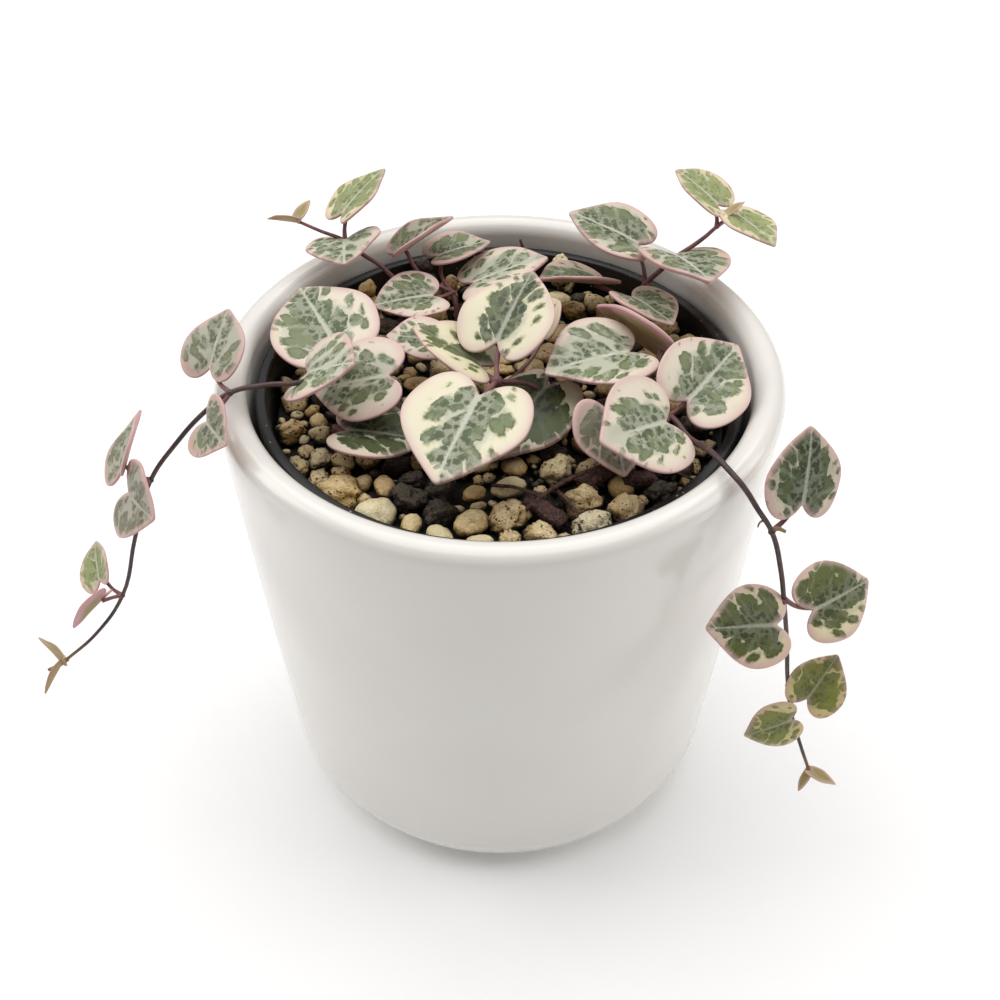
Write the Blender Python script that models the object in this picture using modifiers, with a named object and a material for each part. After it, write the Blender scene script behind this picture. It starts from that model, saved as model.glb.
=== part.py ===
"""Potted variegated string of hearts, a small trailing plant.

A white glazed cachepot holds a black nursery pot, which holds a gritty potting mix. Leafy stems with
thick heart-shaped leaves stand in the mix, and two of them hang over the rim. The origin is the middle of
the pot's flat base, +Z is up and -Y is the side that the plant is looked at from. Sizes are in
millimetres and become metres through MM.
"""

import math
import random
from collections import namedtuple

import bmesh
import bpy
from mathutils import Matrix, Vector
from mathutils.geometry import interpolate_bezier

MM = 0.001
GAP = 0.3  # between solids that touch
WELD = 0.00001  # metres: corners nearer than this become one

# Cachepot
POT_HEIGHT = 88.0
RIM_RADIUS = 45.0
WALL = 5.0
LIP = WALL / 2  # the rim is rounded over its whole thickness
FLOOR = 5.0
FOOT_RADIUS = 29.0  # flat part of the base
FOOT_CORNER = 11.6
BELLY_RADIUS = FOOT_RADIUS + FOOT_CORNER
WALL_BOW = 0.3  # the wall swells this far out of a straight cone
WELL_TOP = 76.0  # above this the inner wall stands upright
POT_STEPS = 44

# Nursery pot
INNER_POT_TOP = 84.0
INNER_POT_RADIUS = 38.2
INNER_POT_FOOT = 29.0
INNER_POT_WALL = 1.0
INNER_ROLL = 0.7  # the rolled rim stands this far outside the wall
ROLL_HEIGHT = 4.0
ROLL_EDGE = 0.4  # bevel on the rolled rim and where it meets the wall
FOOT_CHAMFER = 1.5
INNER_POT_STEPS = 32
DRAIN_RADIUS = 3.5
DRAIN_RING = 18.0
DRAINS = 5
DRAIN_SIDES = 12
DRAIN_CUT = 6.0  # height of a drain's cutter

# Potting mix
MIX_TOP = 78.3
MIX_RADIUS = 36.2
MIX_STEPS = 32
STONE_PITCH = 6.6
STONE_HALF = (2.4, 3.7)  # half the length of the smallest and the largest stone
STONE_SEED = 7
STONE_SHIFT = 0.7  # a stone lies up to this far off its place in the grid
STONE_CLEAR = 0.8  # between a stone and a stem
STONE_SINK = (-0.1, 0.15)  # height of a stone's middle over the mix, as a share of its half length
STONE_LUMPS = (0.86, 1.08)
STONE_WIDTH = (0.68, 0.9)
STONE_HEIGHT = (0.66, 0.82)
STONE_LEAN = 0.3
MIX_EDGE = 0.7
ROOT_DEPTH = 70.0  # stems end at this height inside the mix
ROOT_TOP = 81.5  # a stem is upright up to here
ROOT_HANDLE = 3.0  # length of the handle that keeps it upright
HOLE_TOP = 90.0
HOLE_SIDES = 10

# Leaves and stems
LEAF_THICKNESS = 1.0
LEAF_CURL = 8.0  # degrees from the base to the tip
LOBE = 0.2  # how far the lobes reach behind the petiole, as a share of the leaf's length
CREASE = 0.12  # the fold at the midrib is rounded over this share of the half width
BLADE_CENTRE = 0.38  # share of a leaf's length where the spokes of its blade meet
INNER_RING = 0.55  # share of the way out where the spokes are cut
RIM_SPLIT = (2, 2, 3)  # edges in the notch, the lobe and the side of each half leaf
PETIOLE = 0.6  # radius
PETIOLE_SAG = 0.15  # the middle of a petiole stands back from its blade by this share of its reach
PETIOLE_IN = 1.2  # how deep a petiole runs into its blade
SHORTEST_PETIOLE = 2.0  # nearer than this, the blade grows straight out of the stem
NODE_SWELL = 1.35
STEM_ROUND = 1  # bevel resolution: 0 gives a four-sided bar, 1 a six-sided one
STEM_STEPS = 2

# node: which route point the petiole leaves from. turn: heading, pitch and roll in degrees.
Leaf = namedtuple("Leaf", "node base turn length width fold")
# route: the stem from its root in the mix to its tip. thick: stem radius at the root and at the tip.
Shoot = namedtuple("Shoot", "name route thick nodes leaves")

SHOOTS = (
    Shoot(
        "vine_right",
        ((25, -13, 84.5), (25.3, -13.6, 86.8), (28, -18.9, 86.9), (30, -24.7, 89.5), (32.4, -29.4, 89.5),
         (34, -31.3, 88.5), (36, -33, 86), (38.5, -33.5, 82), (40.8, -34.2, 74.8),
         (42, -34.7, 69.3), (43.7, -35.4, 60.7), (45.4, -36.1, 50.5), (46.8, -37.3, 44.4),
         (48.7, -38.8, 39), (50.6, -40.3, 34.2)),
        (1.0, 0.5),
        (1, 7, 9, 11, 14),
        (
            Leaf(1, (28.2, -12.5, 89), (48, 15, 27), 13.6, 15.3, 14),
            Leaf(1, (24, -19.5, 90.5), (222, 18, -32), 14, 16, 8),
            Leaf(0, (16, -13.5, 88), (286, -28, -6), 11, 12.5, 0),
            Leaf(7, (42.6, -31.3, 85.3), (80, 66, 30), 11.5, 12.6, -4),
            Leaf(9, (46.6, -35, 67.1), (28, 6, 43), 11.2, 12.4, 1),
            Leaf(9, (40.5, -38.4, 67.6), (193, 11, -37), 11.2, 12.6, -5),
            Leaf(11, (48.4, -37.6, 49), (38, 50, 32), 8.7, 9.8, 20),
            Leaf(11, (46, -39.4, 46), (192, -19, -69), 7.9, 8.4, 0),
            Leaf(14, (51, -40.8, 34), (330, -5, 10), 4.5, 2.2, 10),
            Leaf(14, (50.8, -40.6, 33.6), (225, -50, 20), 4, 1.8, 10),
        ),
    ),
    Shoot(
        "vine_left",
        ((-20, -1, 84), (-20.8, -1.4, 86.5), (-24.5, -4, 88.6), (-27.5, -8, 90.2), (-30, -11, 91.2),
         (-35, -12.7, 92), (-39.8, -14.5, 92), (-43.6, -15.9, 89.6), (-48.5, -17.7, 84.8),
         (-53, -19.3, 79), (-57.3, -20.8, 68), (-61.3, -22.4, 56.5), (-67, -24.4, 49),
         (-72.4, -26.4, 44.8)),
        (1.0, 0.5),
        (1, 3, 6, 9, 11, 13),
        (
            Leaf(1, (-26.3, 3, 88), (119, 11, -10), 15.5, 18, 3),
            Leaf(1, (-17.1, -7.2, 89.4), (174, -15, -20), 13, 15.2, 4),
            Leaf(3, (-29.2, -7.8, 90.5), (322, 35, 21), 12, 13.7, 8),
            Leaf(6, (-43.4, -10, 93.1), (72, 38, -11), 9.8, 11.3, 6),
            Leaf(6, (-42.8, -18.6, 89.9), (298, 13, 51), 8.5, 10, 14),
            Leaf(9, (-57.2, -18.4, 80.4), (85, 23, -54), 10.6, 12, 14),
            Leaf(9, (-55.4, -22.6, 79.5), (302, 14, 58), 10.2, 12.2, 12),
            Leaf(11, (-65.4, -19.6, 57), (109, 24, -50), 7.4, 8.5, 16),
            Leaf(11, (-64.4, -22.6, 56.5), (207, -34, 62), 7.5, 4.5, 20),
            Leaf(13, (-73, -26.6, 45), (150, 52, 60), 5.5, 4.2, 20),
            Leaf(13, (-73, -26.8, 44.6), (225, -40, 50), 6, 3.8, 20),
        ),
    ),
    Shoot(
        "vine_back_left",
        ((-17, 24, 84), (-20.2, 26, 87.5), (-24.3, 27.2, 90), (-26.7, 27.7, 92), (-30.8, 27.6, 94),
         (-34.3, 27.9, 95.6)),
        (0.9, 0.5),
        (3, 5),
        (
            Leaf(3, (-26.9, 30.4, 95.8), (46, 29, -19), 11, 11.6, 9),
            Leaf(3, (-26.6, 27.2, 92.3), (275, 16, 11), 12, 13.5, 12),
            Leaf(5, (-34.8, 28, 95.8), (172, 4, 55), 5, 2.4, 10),
            Leaf(5, (-34.6, 28.3, 96), (50, 35, 0), 4, 2.6, 10),
        ),
    ),
    Shoot(
        "vine_back_right",
        ((23, 21.5, 84), (25, 22, 87), (27.3, 21.8, 89.8), (29.7, 22.4, 92), (32.8, 22.4, 94.6),
         (34.6, 23.2, 95.7), (36.3, 24.1, 96.9)),
        (1.0, 0.6),
        (0, 1, 6),
        (
            Leaf(1, (23.4, 25.2, 93), (161, 19, -2), 13, 15, 9),
            Leaf(1, (29.3, 21.1, 93.1), (287, 17, -9), 14.1, 15.6, 10),
            Leaf(6, (36.5, 27.3, 99.2), (146, 29, 3), 9.3, 10.6, 14),
            Leaf(6, (40, 27, 97.4), (309, -7, -13), 9.4, 10.8, 5),
            Leaf(6, (38, 25.4, 98.6), (28, 25, 0), 3.8, 1.8, 10),
            Leaf(0, (17, 24.2, 85.9), (200, 20, 18), 11.9, 13.8, 18),
            Leaf(0, (22.3, 17, 87.6), (305, 5, -14), 10.6, 12, 12),
        ),
    ),
    Shoot(
        "shoot_front_left",
        ((-25.5, -11.5, 82.5), (-25.3, -12, 83.3)),
        (0.8, 0.7),
        (1,),
        (Leaf(1, (-23.3, -12.9, 83.4), (353, -2, -4), 12.8, 14.6, 8),),
    ),
    Shoot(
        "shoot_middle",
        ((0, -2, 83), (-0.3, -3.5, 85.5), (-0.5, -6.8, 88.2)),
        (1.0, 0.8),
        (0, 2),
        (
            Leaf(2, (-0.4, -1.8, 91.9), (63, 29, -8), 13.8, 16.3, 7),
            Leaf(2, (-3.1, -2.6, 88.1), (162, 28, 6), 12.3, 13, 10),
            Leaf(2, (-3.1, -14.4, 91), (249, -6, 0), 17.3, 19.7, 7),
            Leaf(2, (7.4, -4.6, 85.1), (233, -11, 0), 16.5, 15, -8),
            Leaf(0, (-10, 6, 86.5), (186, 14, -8), 8.7, 10, 5),
            Leaf(0, (7, 8, 86), (85, 15, -50), 8.8, 9.6, 5),
        ),
    ),
    Shoot(
        "shoot_back_left",
        ((-7.5, 20, 83.5), (-8.2, 21.5, 85.5)),
        (0.9, 0.8),
        (1,),
        (
            Leaf(1, (-11.5, 18.3, 87), (202, 6, -7), 10.6, 12.2, 10),
            Leaf(1, (-16.9, 26, 91), (28, 26, -24), 10.9, 12.4, 19),
            Leaf(1, (-10.8, 27.8, 88.7), (22, 9, -6), 10, 11, 14),
        ),
    ),
    Shoot(
        "shoot_back",
        ((-1, 17, 83), (-2, 18.5, 85)),
        (0.9, 0.8),
        (1,),
        (Leaf(1, (-4.3, 21.7, 87.1), (11, 21, -6), 13.5, 15.4, 8),),
    ),
    Shoot(
        "shoot_right",
        ((22, -1, 83), (22.6, -0.6, 85)),
        (0.9, 0.8),
        (1,),
        (
            Leaf(1, (20, -1.7, 89.8), (204, 5, -2), 14.6, 17, 12),
            Leaf(1, (26.4, 1.9, 88), (135, 8, 57), 14.5, 15.5, 1),
        ),
    ),
)


def clear_scene():
    """Only the objects go: the file this may run from stays open."""
    for old in list(bpy.data.objects):
        bpy.data.objects.remove(old, do_unlink=True)


def new_collection(name):
    collection = bpy.data.collections.new(name)
    bpy.context.scene.collection.children.link(collection)
    return collection


def material(name, colour, roughness, metallic=0.0):
    made = bpy.data.materials.new(name)
    made.use_nodes = True
    shader = made.node_tree.nodes["Principled BSDF"]
    shader.inputs["Base Color"].default_value = (*colour, 1.0)
    shader.inputs["Roughness"].default_value = roughness
    shader.inputs["Metallic"].default_value = metallic
    return made


def scaled(point):
    return Vector(point) * MM


def link_mesh(name, bm, collection, look=None):
    """A new object from a bmesh, which is freed."""
    mesh = bpy.data.meshes.new(name)
    bm.to_mesh(mesh)
    bm.free()
    made = bpy.data.objects.new(name, mesh)
    collection.objects.link(made)
    if look is not None:
        mesh.materials.append(look)
    return made


def arc(centre, radius, start, end, steps):
    """Points of a circular arc in the profile's plane, angles in degrees from +X."""
    points = []
    for step in range(steps + 1):
        angle = math.radians(start + (end - start) * step / steps)
        points.append((centre[0] + radius * math.cos(angle), centre[1] + radius * math.sin(angle)))
    return points


def turned(name, profile, steps, collection, look, closed_ring):
    """A profile at +X, drawn down its outer side, turned about Z by a Screw modifier."""
    bm = bmesh.new()
    points = [bm.verts.new(scaled((x, 0, z))) for x, z in profile]
    for a, b in zip(points, points[1:]):
        bm.edges.new((a, b))
    if closed_ring:
        bm.edges.new((points[-1], points[0]))
    made = link_mesh(name, bm, collection, look)
    screw = made.modifiers.new("turn", "SCREW")
    screw.axis = "Z"
    screw.angle = 2 * math.pi
    screw.steps = steps
    screw.render_steps = steps
    screw.use_merge_vertices = True
    screw.merge_threshold = WELD
    return made


def applied(made):
    """The object's evaluated mesh as its own mesh, with no modifier left."""
    bpy.context.view_layer.update()
    evaluated = made.evaluated_get(bpy.context.evaluated_depsgraph_get())
    mesh = bpy.data.meshes.new_from_object(evaluated)
    made.modifiers.clear()
    made.data = mesh
    return made


def smooth(made, angle=50):
    made.data.shade_smooth()
    made.data.set_sharp_from_angle(angle=math.radians(angle))


def fuse(made, collection, operation):
    """One Boolean with everything in a collection, applied, and the collection's objects removed."""
    boolean = made.modifiers.new(operation.lower(), "BOOLEAN")
    boolean.operation = operation
    boolean.operand_type = "COLLECTION"
    boolean.collection = collection
    boolean.solver = "EXACT"
    applied(made)
    for used in list(collection.objects):
        bpy.data.objects.remove(used, do_unlink=True)


def make_cachepot(collection):
    """A thick shell with a rounded lip, a straight flared wall and a rounded corner at the foot."""
    lip_centre = (RIM_RADIUS - LIP, POT_HEIGHT - LIP)
    corner = (FOOT_RADIUS, FOOT_CORNER)
    inner_corner = FOOT_CORNER - WALL
    profile = arc(lip_centre, LIP, 90, 0, 4)
    for share in (1 / 3, 2 / 3):
        radius = RIM_RADIUS + (BELLY_RADIUS - RIM_RADIUS) * share + WALL_BOW
        profile.append((radius, lip_centre[1] + (FOOT_CORNER - lip_centre[1]) * share))
    profile += arc(corner, FOOT_CORNER, 0, -90, 5)
    profile += [(0, 0), (0, FLOOR)]
    profile += arc((FOOT_RADIUS, FLOOR + inner_corner), inner_corner, -90, 0, 3)
    profile += [(RIM_RADIUS - WALL, WELL_TOP)]
    profile += arc(lip_centre, LIP, 180, 90, 3)[:-1]
    white = material("white_glaze", (0.86, 0.86, 0.85), 0.3)
    pot = turned("ceramic_pot", profile, POT_STEPS, collection, white, True)
    applied(pot)
    smooth(pot)


def make_nursery_pot(collection, cutters):
    """A thin tapered shell with a rolled rim and a ring of drainage holes, on the cachepot's floor."""
    foot = FLOOR + GAP
    outer = INNER_POT_RADIUS
    inner = outer - INNER_POT_WALL
    inner_foot = INNER_POT_FOOT - INNER_POT_WALL
    roll = outer + INNER_ROLL
    under_roll = INNER_POT_TOP - ROLL_HEIGHT
    profile = [
        (inner, INNER_POT_TOP),
        (roll - ROLL_EDGE, INNER_POT_TOP),
        (roll, INNER_POT_TOP - ROLL_EDGE),
        (roll, under_roll),
        (outer - ROLL_EDGE, under_roll - ROLL_EDGE),
        (INNER_POT_FOOT + FOOT_CHAMFER / 2, foot + FOOT_CHAMFER),
        (INNER_POT_FOOT - FOOT_CHAMFER / 2, foot),
        (0, foot),
        (0, foot + INNER_POT_WALL),
        (inner_foot - FOOT_CHAMFER / 2, foot + INNER_POT_WALL),
        (inner_foot + FOOT_CHAMFER / 2, foot + INNER_POT_WALL + FOOT_CHAMFER),
        (inner - ROLL_EDGE, under_roll - INNER_POT_WALL),
    ]
    black = material("black_plastic", (0.015, 0.015, 0.017), 0.5)
    pot = turned("nursery_pot", profile, INNER_POT_STEPS, collection, black, True)
    applied(pot)
    for index in range(DRAINS):
        angle = 2 * math.pi * (index + 0.5) / DRAINS
        bm = bmesh.new()
        bmesh.ops.create_cone(
            bm, cap_ends=True, segments=DRAIN_SIDES, radius1=DRAIN_RADIUS * MM,
            radius2=DRAIN_RADIUS * MM, depth=DRAIN_CUT * MM,
            matrix=Matrix.Translation(
                scaled((DRAIN_RING * math.cos(angle), DRAIN_RING * math.sin(angle), foot))
            ),
        )
        link_mesh("drain", bm, cutters)
    fuse(pot, cutters, "DIFFERENCE")
    smooth(pot)


def add_stone(collection, rng, x, y, half):
    """An icosphere with uneven corners, stretched, turned and half sunk in the mix."""
    bm = bmesh.new()
    bmesh.ops.create_icosphere(bm, subdivisions=1, radius=half * MM)
    for corner in bm.verts:
        corner.co *= rng.uniform(*STONE_LUMPS)
    squash = Matrix.Diagonal((1.0, rng.uniform(*STONE_WIDTH), rng.uniform(*STONE_HEIGHT), 1.0))
    turn = Matrix.Rotation(rng.uniform(0, 2 * math.pi), 4, "Z")
    lean = Matrix.Rotation(rng.uniform(-STONE_LEAN, STONE_LEAN), 4, "Y")
    height = MIX_TOP + rng.uniform(*STONE_SINK) * half
    bm.transform(Matrix.Translation(scaled((x, y, height))) @ turn @ lean @ squash)
    link_mesh("stone", bm, collection)


def stone_places(rng, roots):
    """A jittered six-sided grid over the mix that leaves the stems free."""
    places = []
    row_step = STONE_PITCH * math.sqrt(0.75)
    rows = int(MIX_RADIUS / row_step)
    for row in range(-rows, rows + 1):
        shift = STONE_PITCH / 2 if row % 2 else 0.0
        columns = int(MIX_RADIUS / STONE_PITCH) + 1
        for column in range(-columns, columns + 1):
            x = column * STONE_PITCH + shift + rng.uniform(-STONE_SHIFT, STONE_SHIFT)
            y = row * row_step + rng.uniform(-STONE_SHIFT, STONE_SHIFT)
            half = rng.uniform(*STONE_HALF)
            reach = half + STONE_CLEAR
            free = all(math.hypot(x - rx, y - ry) > reach + radius for rx, ry, radius in roots)
            if free and math.hypot(x, y) + half < MIX_RADIUS:
                places.append((x, y, half))
    return places


def make_mix(collection, tools, cutters):
    """Soil that fills the nursery pot, with stones half sunk in its top and a hole for each stem."""
    foot = FLOOR + INNER_POT_WALL + 2 * GAP
    foot_radius = INNER_POT_FOOT - INNER_POT_WALL - FOOT_CHAMFER / 2 - GAP
    profile = [
        (0, MIX_TOP),
        (MIX_RADIUS - MIX_EDGE, MIX_TOP),
        (MIX_RADIUS, MIX_TOP - MIX_EDGE),
        (foot_radius + MIX_EDGE, foot + 2 * FOOT_CHAMFER),
        (foot_radius - MIX_EDGE, foot),
        (0, foot),
    ]
    brown = material("potting_mix", (0.10, 0.075, 0.05), 0.95)
    mix = turned("potting_mix", profile, MIX_STEPS, collection, brown, False)
    applied(mix)
    roots = [(shoot.route[0][0], shoot.route[0][1], shoot.thick[0]) for shoot in SHOOTS]
    rng = random.Random(STONE_SEED)
    for x, y, half in stone_places(rng, roots):
        add_stone(tools, rng, x, y, half)
    fuse(mix, tools, "UNION")
    for x, y, radius in roots:
        bottom = ROOT_DEPTH - GAP
        bm = bmesh.new()
        bmesh.ops.create_cone(
            bm, cap_ends=True, segments=HOLE_SIDES, radius1=(radius + GAP) * MM,
            radius2=(radius + GAP) * MM, depth=(HOLE_TOP - bottom) * MM,
            matrix=Matrix.Translation(scaled((x, y, (HOLE_TOP + bottom) / 2))),
        )
        link_mesh("stem_hole", bm, cutters)
    fuse(mix, cutters, "DIFFERENCE")


def tube(name, points, radii, collection, roundness, upright_start=False):
    """A round bar along a smooth curve through the points, made a mesh with its caps welded."""
    curve = bpy.data.curves.new(name, "CURVE")
    curve.dimensions = "3D"
    curve.bevel_depth = MM
    curve.bevel_resolution = roundness
    curve.resolution_u = STEM_STEPS
    curve.use_fill_caps = True
    spline = curve.splines.new("BEZIER")
    spline.bezier_points.add(len(points) - 1)
    for knot, point, radius in zip(spline.bezier_points, points, radii):
        knot.co = scaled(point)
        knot.radius = radius
        knot.handle_left_type = "AUTO"
        knot.handle_right_type = "AUTO"
    if upright_start:
        knot = spline.bezier_points[1]
        knot.handle_left_type = "FREE"
        knot.handle_right_type = "FREE"
        knot.handle_left = knot.co - Vector((0, 0, ROOT_HANDLE * MM))
        knot.handle_right = knot.co + Vector((0, 0, MM))
        spline.bezier_points[0].handle_right_type = "VECTOR"
    source = bpy.data.objects.new(name, curve)
    collection.objects.link(source)
    bpy.context.view_layer.update()
    evaluated = source.evaluated_get(bpy.context.evaluated_depsgraph_get())
    mesh = bpy.data.meshes.new_from_object(evaluated)
    bm = bmesh.new()
    bm.from_mesh(mesh)
    bpy.data.meshes.remove(mesh)
    bmesh.ops.remove_doubles(bm, verts=bm.verts, dist=WELD)
    bmesh.ops.recalc_face_normals(bm, faces=bm.faces)
    place = source.matrix_world.copy()
    bpy.data.objects.remove(source, do_unlink=True)
    made = link_mesh(name, bm, collection)
    made.matrix_world = place
    return made


def half_outline():
    """The edge of half a heart, from the notch round the lobe to the tip, for a leaf one unit long
    and two units wide."""
    pieces = (
        ((0, 0), (-0.07, 0.06), (-LOBE, 0.22), (-LOBE, 0.45)),
        ((-LOBE, 0.45), (-LOBE, 0.78), (0.05, 1.0), (0.30, 1.0)),
        ((0.30, 1.0), (0.60, 1.0), (0.84, 0.34), (1.0, 0.0)),
    )
    edge = [Vector((0, 0, 0))]
    for (start, first, second, end), split in zip(pieces, RIM_SPLIT):
        corners = [Vector((*corner, 0)) for corner in (start, first, second, end)]
        edge += interpolate_bezier(*corners, split + 1)[1:]
    return edge


def heart_edge():
    """The whole edge, counted from the tip through the left half and the notch to the right half."""
    half = half_outline()
    left = [Vector(point) for point in reversed(half)]
    right = [Vector((point.x, -point.y, 0)) for point in half[1:-1]]
    return left + right


def bent(along, across, leaf):
    """Where a point of the flat blade lies once the blade is folded at its midrib and curls."""
    fold = math.radians(leaf.fold)
    half = leaf.width / 2
    soft = CREASE * half
    side = across * half
    rise = (math.hypot(side, soft) - soft) * math.sin(fold)
    curl = math.radians(LEAF_CURL) / leaf.length
    angle = along * leaf.length * curl
    return Vector((
        math.sin(angle) / curl + rise * math.sin(angle),
        side * math.cos(fold),
        -(1 - math.cos(angle)) / curl + rise * math.cos(angle),
    ))


def leaf_frame(leaf):
    """Axes of a leaf: +X from its notch to its tip, +Y across, +Z out of its upper face."""
    heading, pitch, roll = (math.radians(angle) for angle in leaf.turn)
    turn = Matrix.Rotation(heading, 4, "Z") @ Matrix.Rotation(-pitch, 4, "Y")
    turn = turn @ Matrix.Rotation(roll, 4, "X")
    return Matrix.Translation(scaled(leaf.base)) @ turn


def add_leaf(leaf, collection):
    """A disc whose rim takes the heart's outline, bent, placed and given its thickness."""
    edge = heart_edge()
    sides = len(edge)
    centre = Vector((BLADE_CENTRE, 0, 0))
    bm = bmesh.new()
    bmesh.ops.create_circle(bm, cap_ends=True, cap_tris=True, segments=sides, radius=1.0)
    spokes = [line for line in bm.edges if min(corner.co.length for corner in line.verts) < 0.5]
    bmesh.ops.subdivide_edges(bm, edges=spokes, cuts=1)
    bmesh.ops.triangulate(bm, faces=bm.faces)
    for corner in bm.verts:
        share = corner.co.length
        if share < 0.25:
            place = centre
        else:
            angle = math.atan2(-corner.co.x, corner.co.y)  # the circle's first corner is at +Y
            index = round(angle * sides / (2 * math.pi)) % sides
            place = centre.lerp(edge[index], 1.0 if share > 0.75 else INNER_RING)
        corner.co = bent(place.x, place.y, leaf) * MM
    bmesh.ops.recalc_face_normals(bm, faces=bm.faces)
    top = next(iter(bm.faces))
    if top.normal.z < 0:
        bmesh.ops.reverse_faces(bm, faces=bm.faces)
    bmesh.ops.solidify(bm, geom=bm.faces, thickness=LEAF_THICKNESS * MM)
    bmesh.ops.recalc_face_normals(bm, faces=bm.faces)
    bm.transform(leaf_frame(leaf))
    link_mesh("blade", bm, collection)


def petiole_route(start, leaf):
    """From the stem to the notch, arriving along the blade's own line and a little inside it."""
    base = Vector(leaf.base)
    turn = leaf_frame(leaf).to_3x3()
    forward = turn @ Vector((1, 0, 0))
    under = turn @ Vector((0, 0, -LEAF_THICKNESS / 2))
    reach = (base - start).length
    middle = start.lerp(base, 0.6) - forward * reach * PETIOLE_SAG + under
    return [start, middle, base + under + forward * PETIOLE_IN]


def add_swelling(collection, place, radius):
    """The thickened node of a stem, where leaves grow in pairs."""
    bm = bmesh.new()
    bmesh.ops.create_icosphere(bm, subdivisions=1, radius=radius * MM)
    bm.transform(Matrix.Translation(scaled(place)))
    link_mesh("stem_node", bm, collection)


def make_shoot(shoot, collection, tools, look):
    """One leafy stem as one solid: the stem, its nodes, petioles and blades are fused."""
    root = (shoot.route[0][0], shoot.route[0][1])
    points = [(*root, ROOT_DEPTH), (*root, ROOT_TOP), *shoot.route]
    thick, thin = shoot.thick
    radii = [thick + (thin - thick) * index / (len(points) - 1) for index in range(len(points))]
    stem = tube(shoot.name, points, radii, collection, STEM_ROUND, upright_start=True)
    for index in shoot.nodes:
        add_swelling(tools, shoot.route[index], radii[index + 2] * NODE_SWELL)
    for leaf in shoot.leaves:
        add_leaf(leaf, tools)
        start = Vector(shoot.route[leaf.node])
        if (start - Vector(leaf.base)).length > SHORTEST_PETIOLE:
            route = petiole_route(start, leaf)
            tube("petiole", route, [PETIOLE] * len(route), tools, 0)
    fuse(stem, tools, "UNION")
    stem.data.materials.clear()
    stem.data.materials.append(look)
    smooth(stem)


def main():
    clear_scene()
    parts = new_collection("potted_variegated_string_of_hearts")
    tools = new_collection("pieces_to_fuse")
    cutters = new_collection("cutters")
    make_cachepot(parts)
    make_nursery_pot(parts, cutters)
    make_mix(parts, tools, cutters)
    leaf_look = material("variegated_leaf", (0.36, 0.44, 0.30), 0.5)
    for shoot in SHOOTS:
        make_shoot(shoot, parts, tools, leaf_look)


main()
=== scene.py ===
# %% [markdown]
# # A potted variegated string of hearts
#
# The real object is a small trailing plant. A white glazed cachepot, 90 mm across, holds a black nursery
# pot. That pot is filled with dark soil under a dressing of tan pumice. Thin maroon stems rise from the
# mix, carry thick heart-shaped leaves in pairs, and hang over the rim on both sides.
#
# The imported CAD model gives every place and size. It loads first, and each finer piece made below stands
# where a CAD node stands. Lengths are written in millimetres and become metres through `MM`.

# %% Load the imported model
import math
import random
from collections import namedtuple

import bmesh
import bpy
from mathutils import Matrix, Vector, noise
from mathutils.geometry import interpolate_bezier


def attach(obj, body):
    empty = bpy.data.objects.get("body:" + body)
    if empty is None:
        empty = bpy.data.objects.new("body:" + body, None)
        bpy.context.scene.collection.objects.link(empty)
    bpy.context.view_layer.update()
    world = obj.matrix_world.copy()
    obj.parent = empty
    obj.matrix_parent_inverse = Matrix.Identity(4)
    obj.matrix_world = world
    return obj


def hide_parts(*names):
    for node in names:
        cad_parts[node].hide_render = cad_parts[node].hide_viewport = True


MM = 0.001
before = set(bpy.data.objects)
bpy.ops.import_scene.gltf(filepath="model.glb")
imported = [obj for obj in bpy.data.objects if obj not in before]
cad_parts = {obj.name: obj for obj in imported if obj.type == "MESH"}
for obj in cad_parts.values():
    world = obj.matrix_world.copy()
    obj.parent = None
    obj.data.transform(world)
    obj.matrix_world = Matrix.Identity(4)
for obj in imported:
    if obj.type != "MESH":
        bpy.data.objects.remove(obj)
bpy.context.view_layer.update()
print("CAD nodes:", sorted(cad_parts))

# %% [markdown]
# ## The camera
#
# The photograph was taken from above the rim. Fitting the pot's two rim ellipses gave the camera's height,
# distance and focal length. A camera could also be aimed with a Track To constraint, but a plain turn
# about X is enough here, because it stands exactly in front of the pot.

# %% Stand the camera where the photograph was taken
CAMERA_ELEVATION = math.radians(43.2)
CAMERA_DISTANCE = 216 * MM
LOOK_HEIGHT = 56.7 * MM
FOCAL_PIXELS = 1230
PICTURE_PIXELS = 1000
SENSOR = 36

camera = bpy.data.objects.new("camera", bpy.data.cameras.new("camera"))
camera.data.sensor_width = SENSOR
camera.data.lens = SENSOR * FOCAL_PIXELS / PICTURE_PIXELS
camera.data.clip_start = MM
camera.location = (
    0,
    -CAMERA_DISTANCE * math.cos(CAMERA_ELEVATION),
    LOOK_HEIGHT + CAMERA_DISTANCE * math.sin(CAMERA_ELEVATION),
)
camera.rotation_euler = (math.pi / 2 - CAMERA_ELEVATION, 0, 0)
bpy.context.scene.collection.objects.link(camera)
bpy.context.scene.camera = camera
print("camera at", [round(value, 4) for value in camera.location])

# %% [markdown]
# ## A short way to write materials
#
# Every finish here is procedural: noises and cells are mixed by shader nodes. Wiring each node by hand
# hides the sum that it stands for. So one class wraps an output socket and turns Python arithmetic into
# Math nodes, and one method makes every other node. Colours go through Mix nodes.

# %% A socket that Python can calculate with
class Wire:
    """An output socket. Adding, multiplying and so on put Math nodes behind it."""

    def __init__(self, finish, socket):
        self.finish = finish
        self.socket = socket

    def maths(self, operation, *others):
        values = dict(enumerate((self, *others)))
        return self.finish.node("ShaderNodeMath", {"operation": operation}, values)["Value"]

    def __add__(self, other):
        return self.maths("ADD", other)

    def __mul__(self, other):
        return self.maths("MULTIPLY", other)

    def __sub__(self, other):
        return self.maths("SUBTRACT", other)

    def __rsub__(self, other):
        return self * -1 + other

    def __abs__(self):
        return self.maths("ABSOLUTE")

    __radd__ = __add__
    __rmul__ = __mul__


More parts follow.
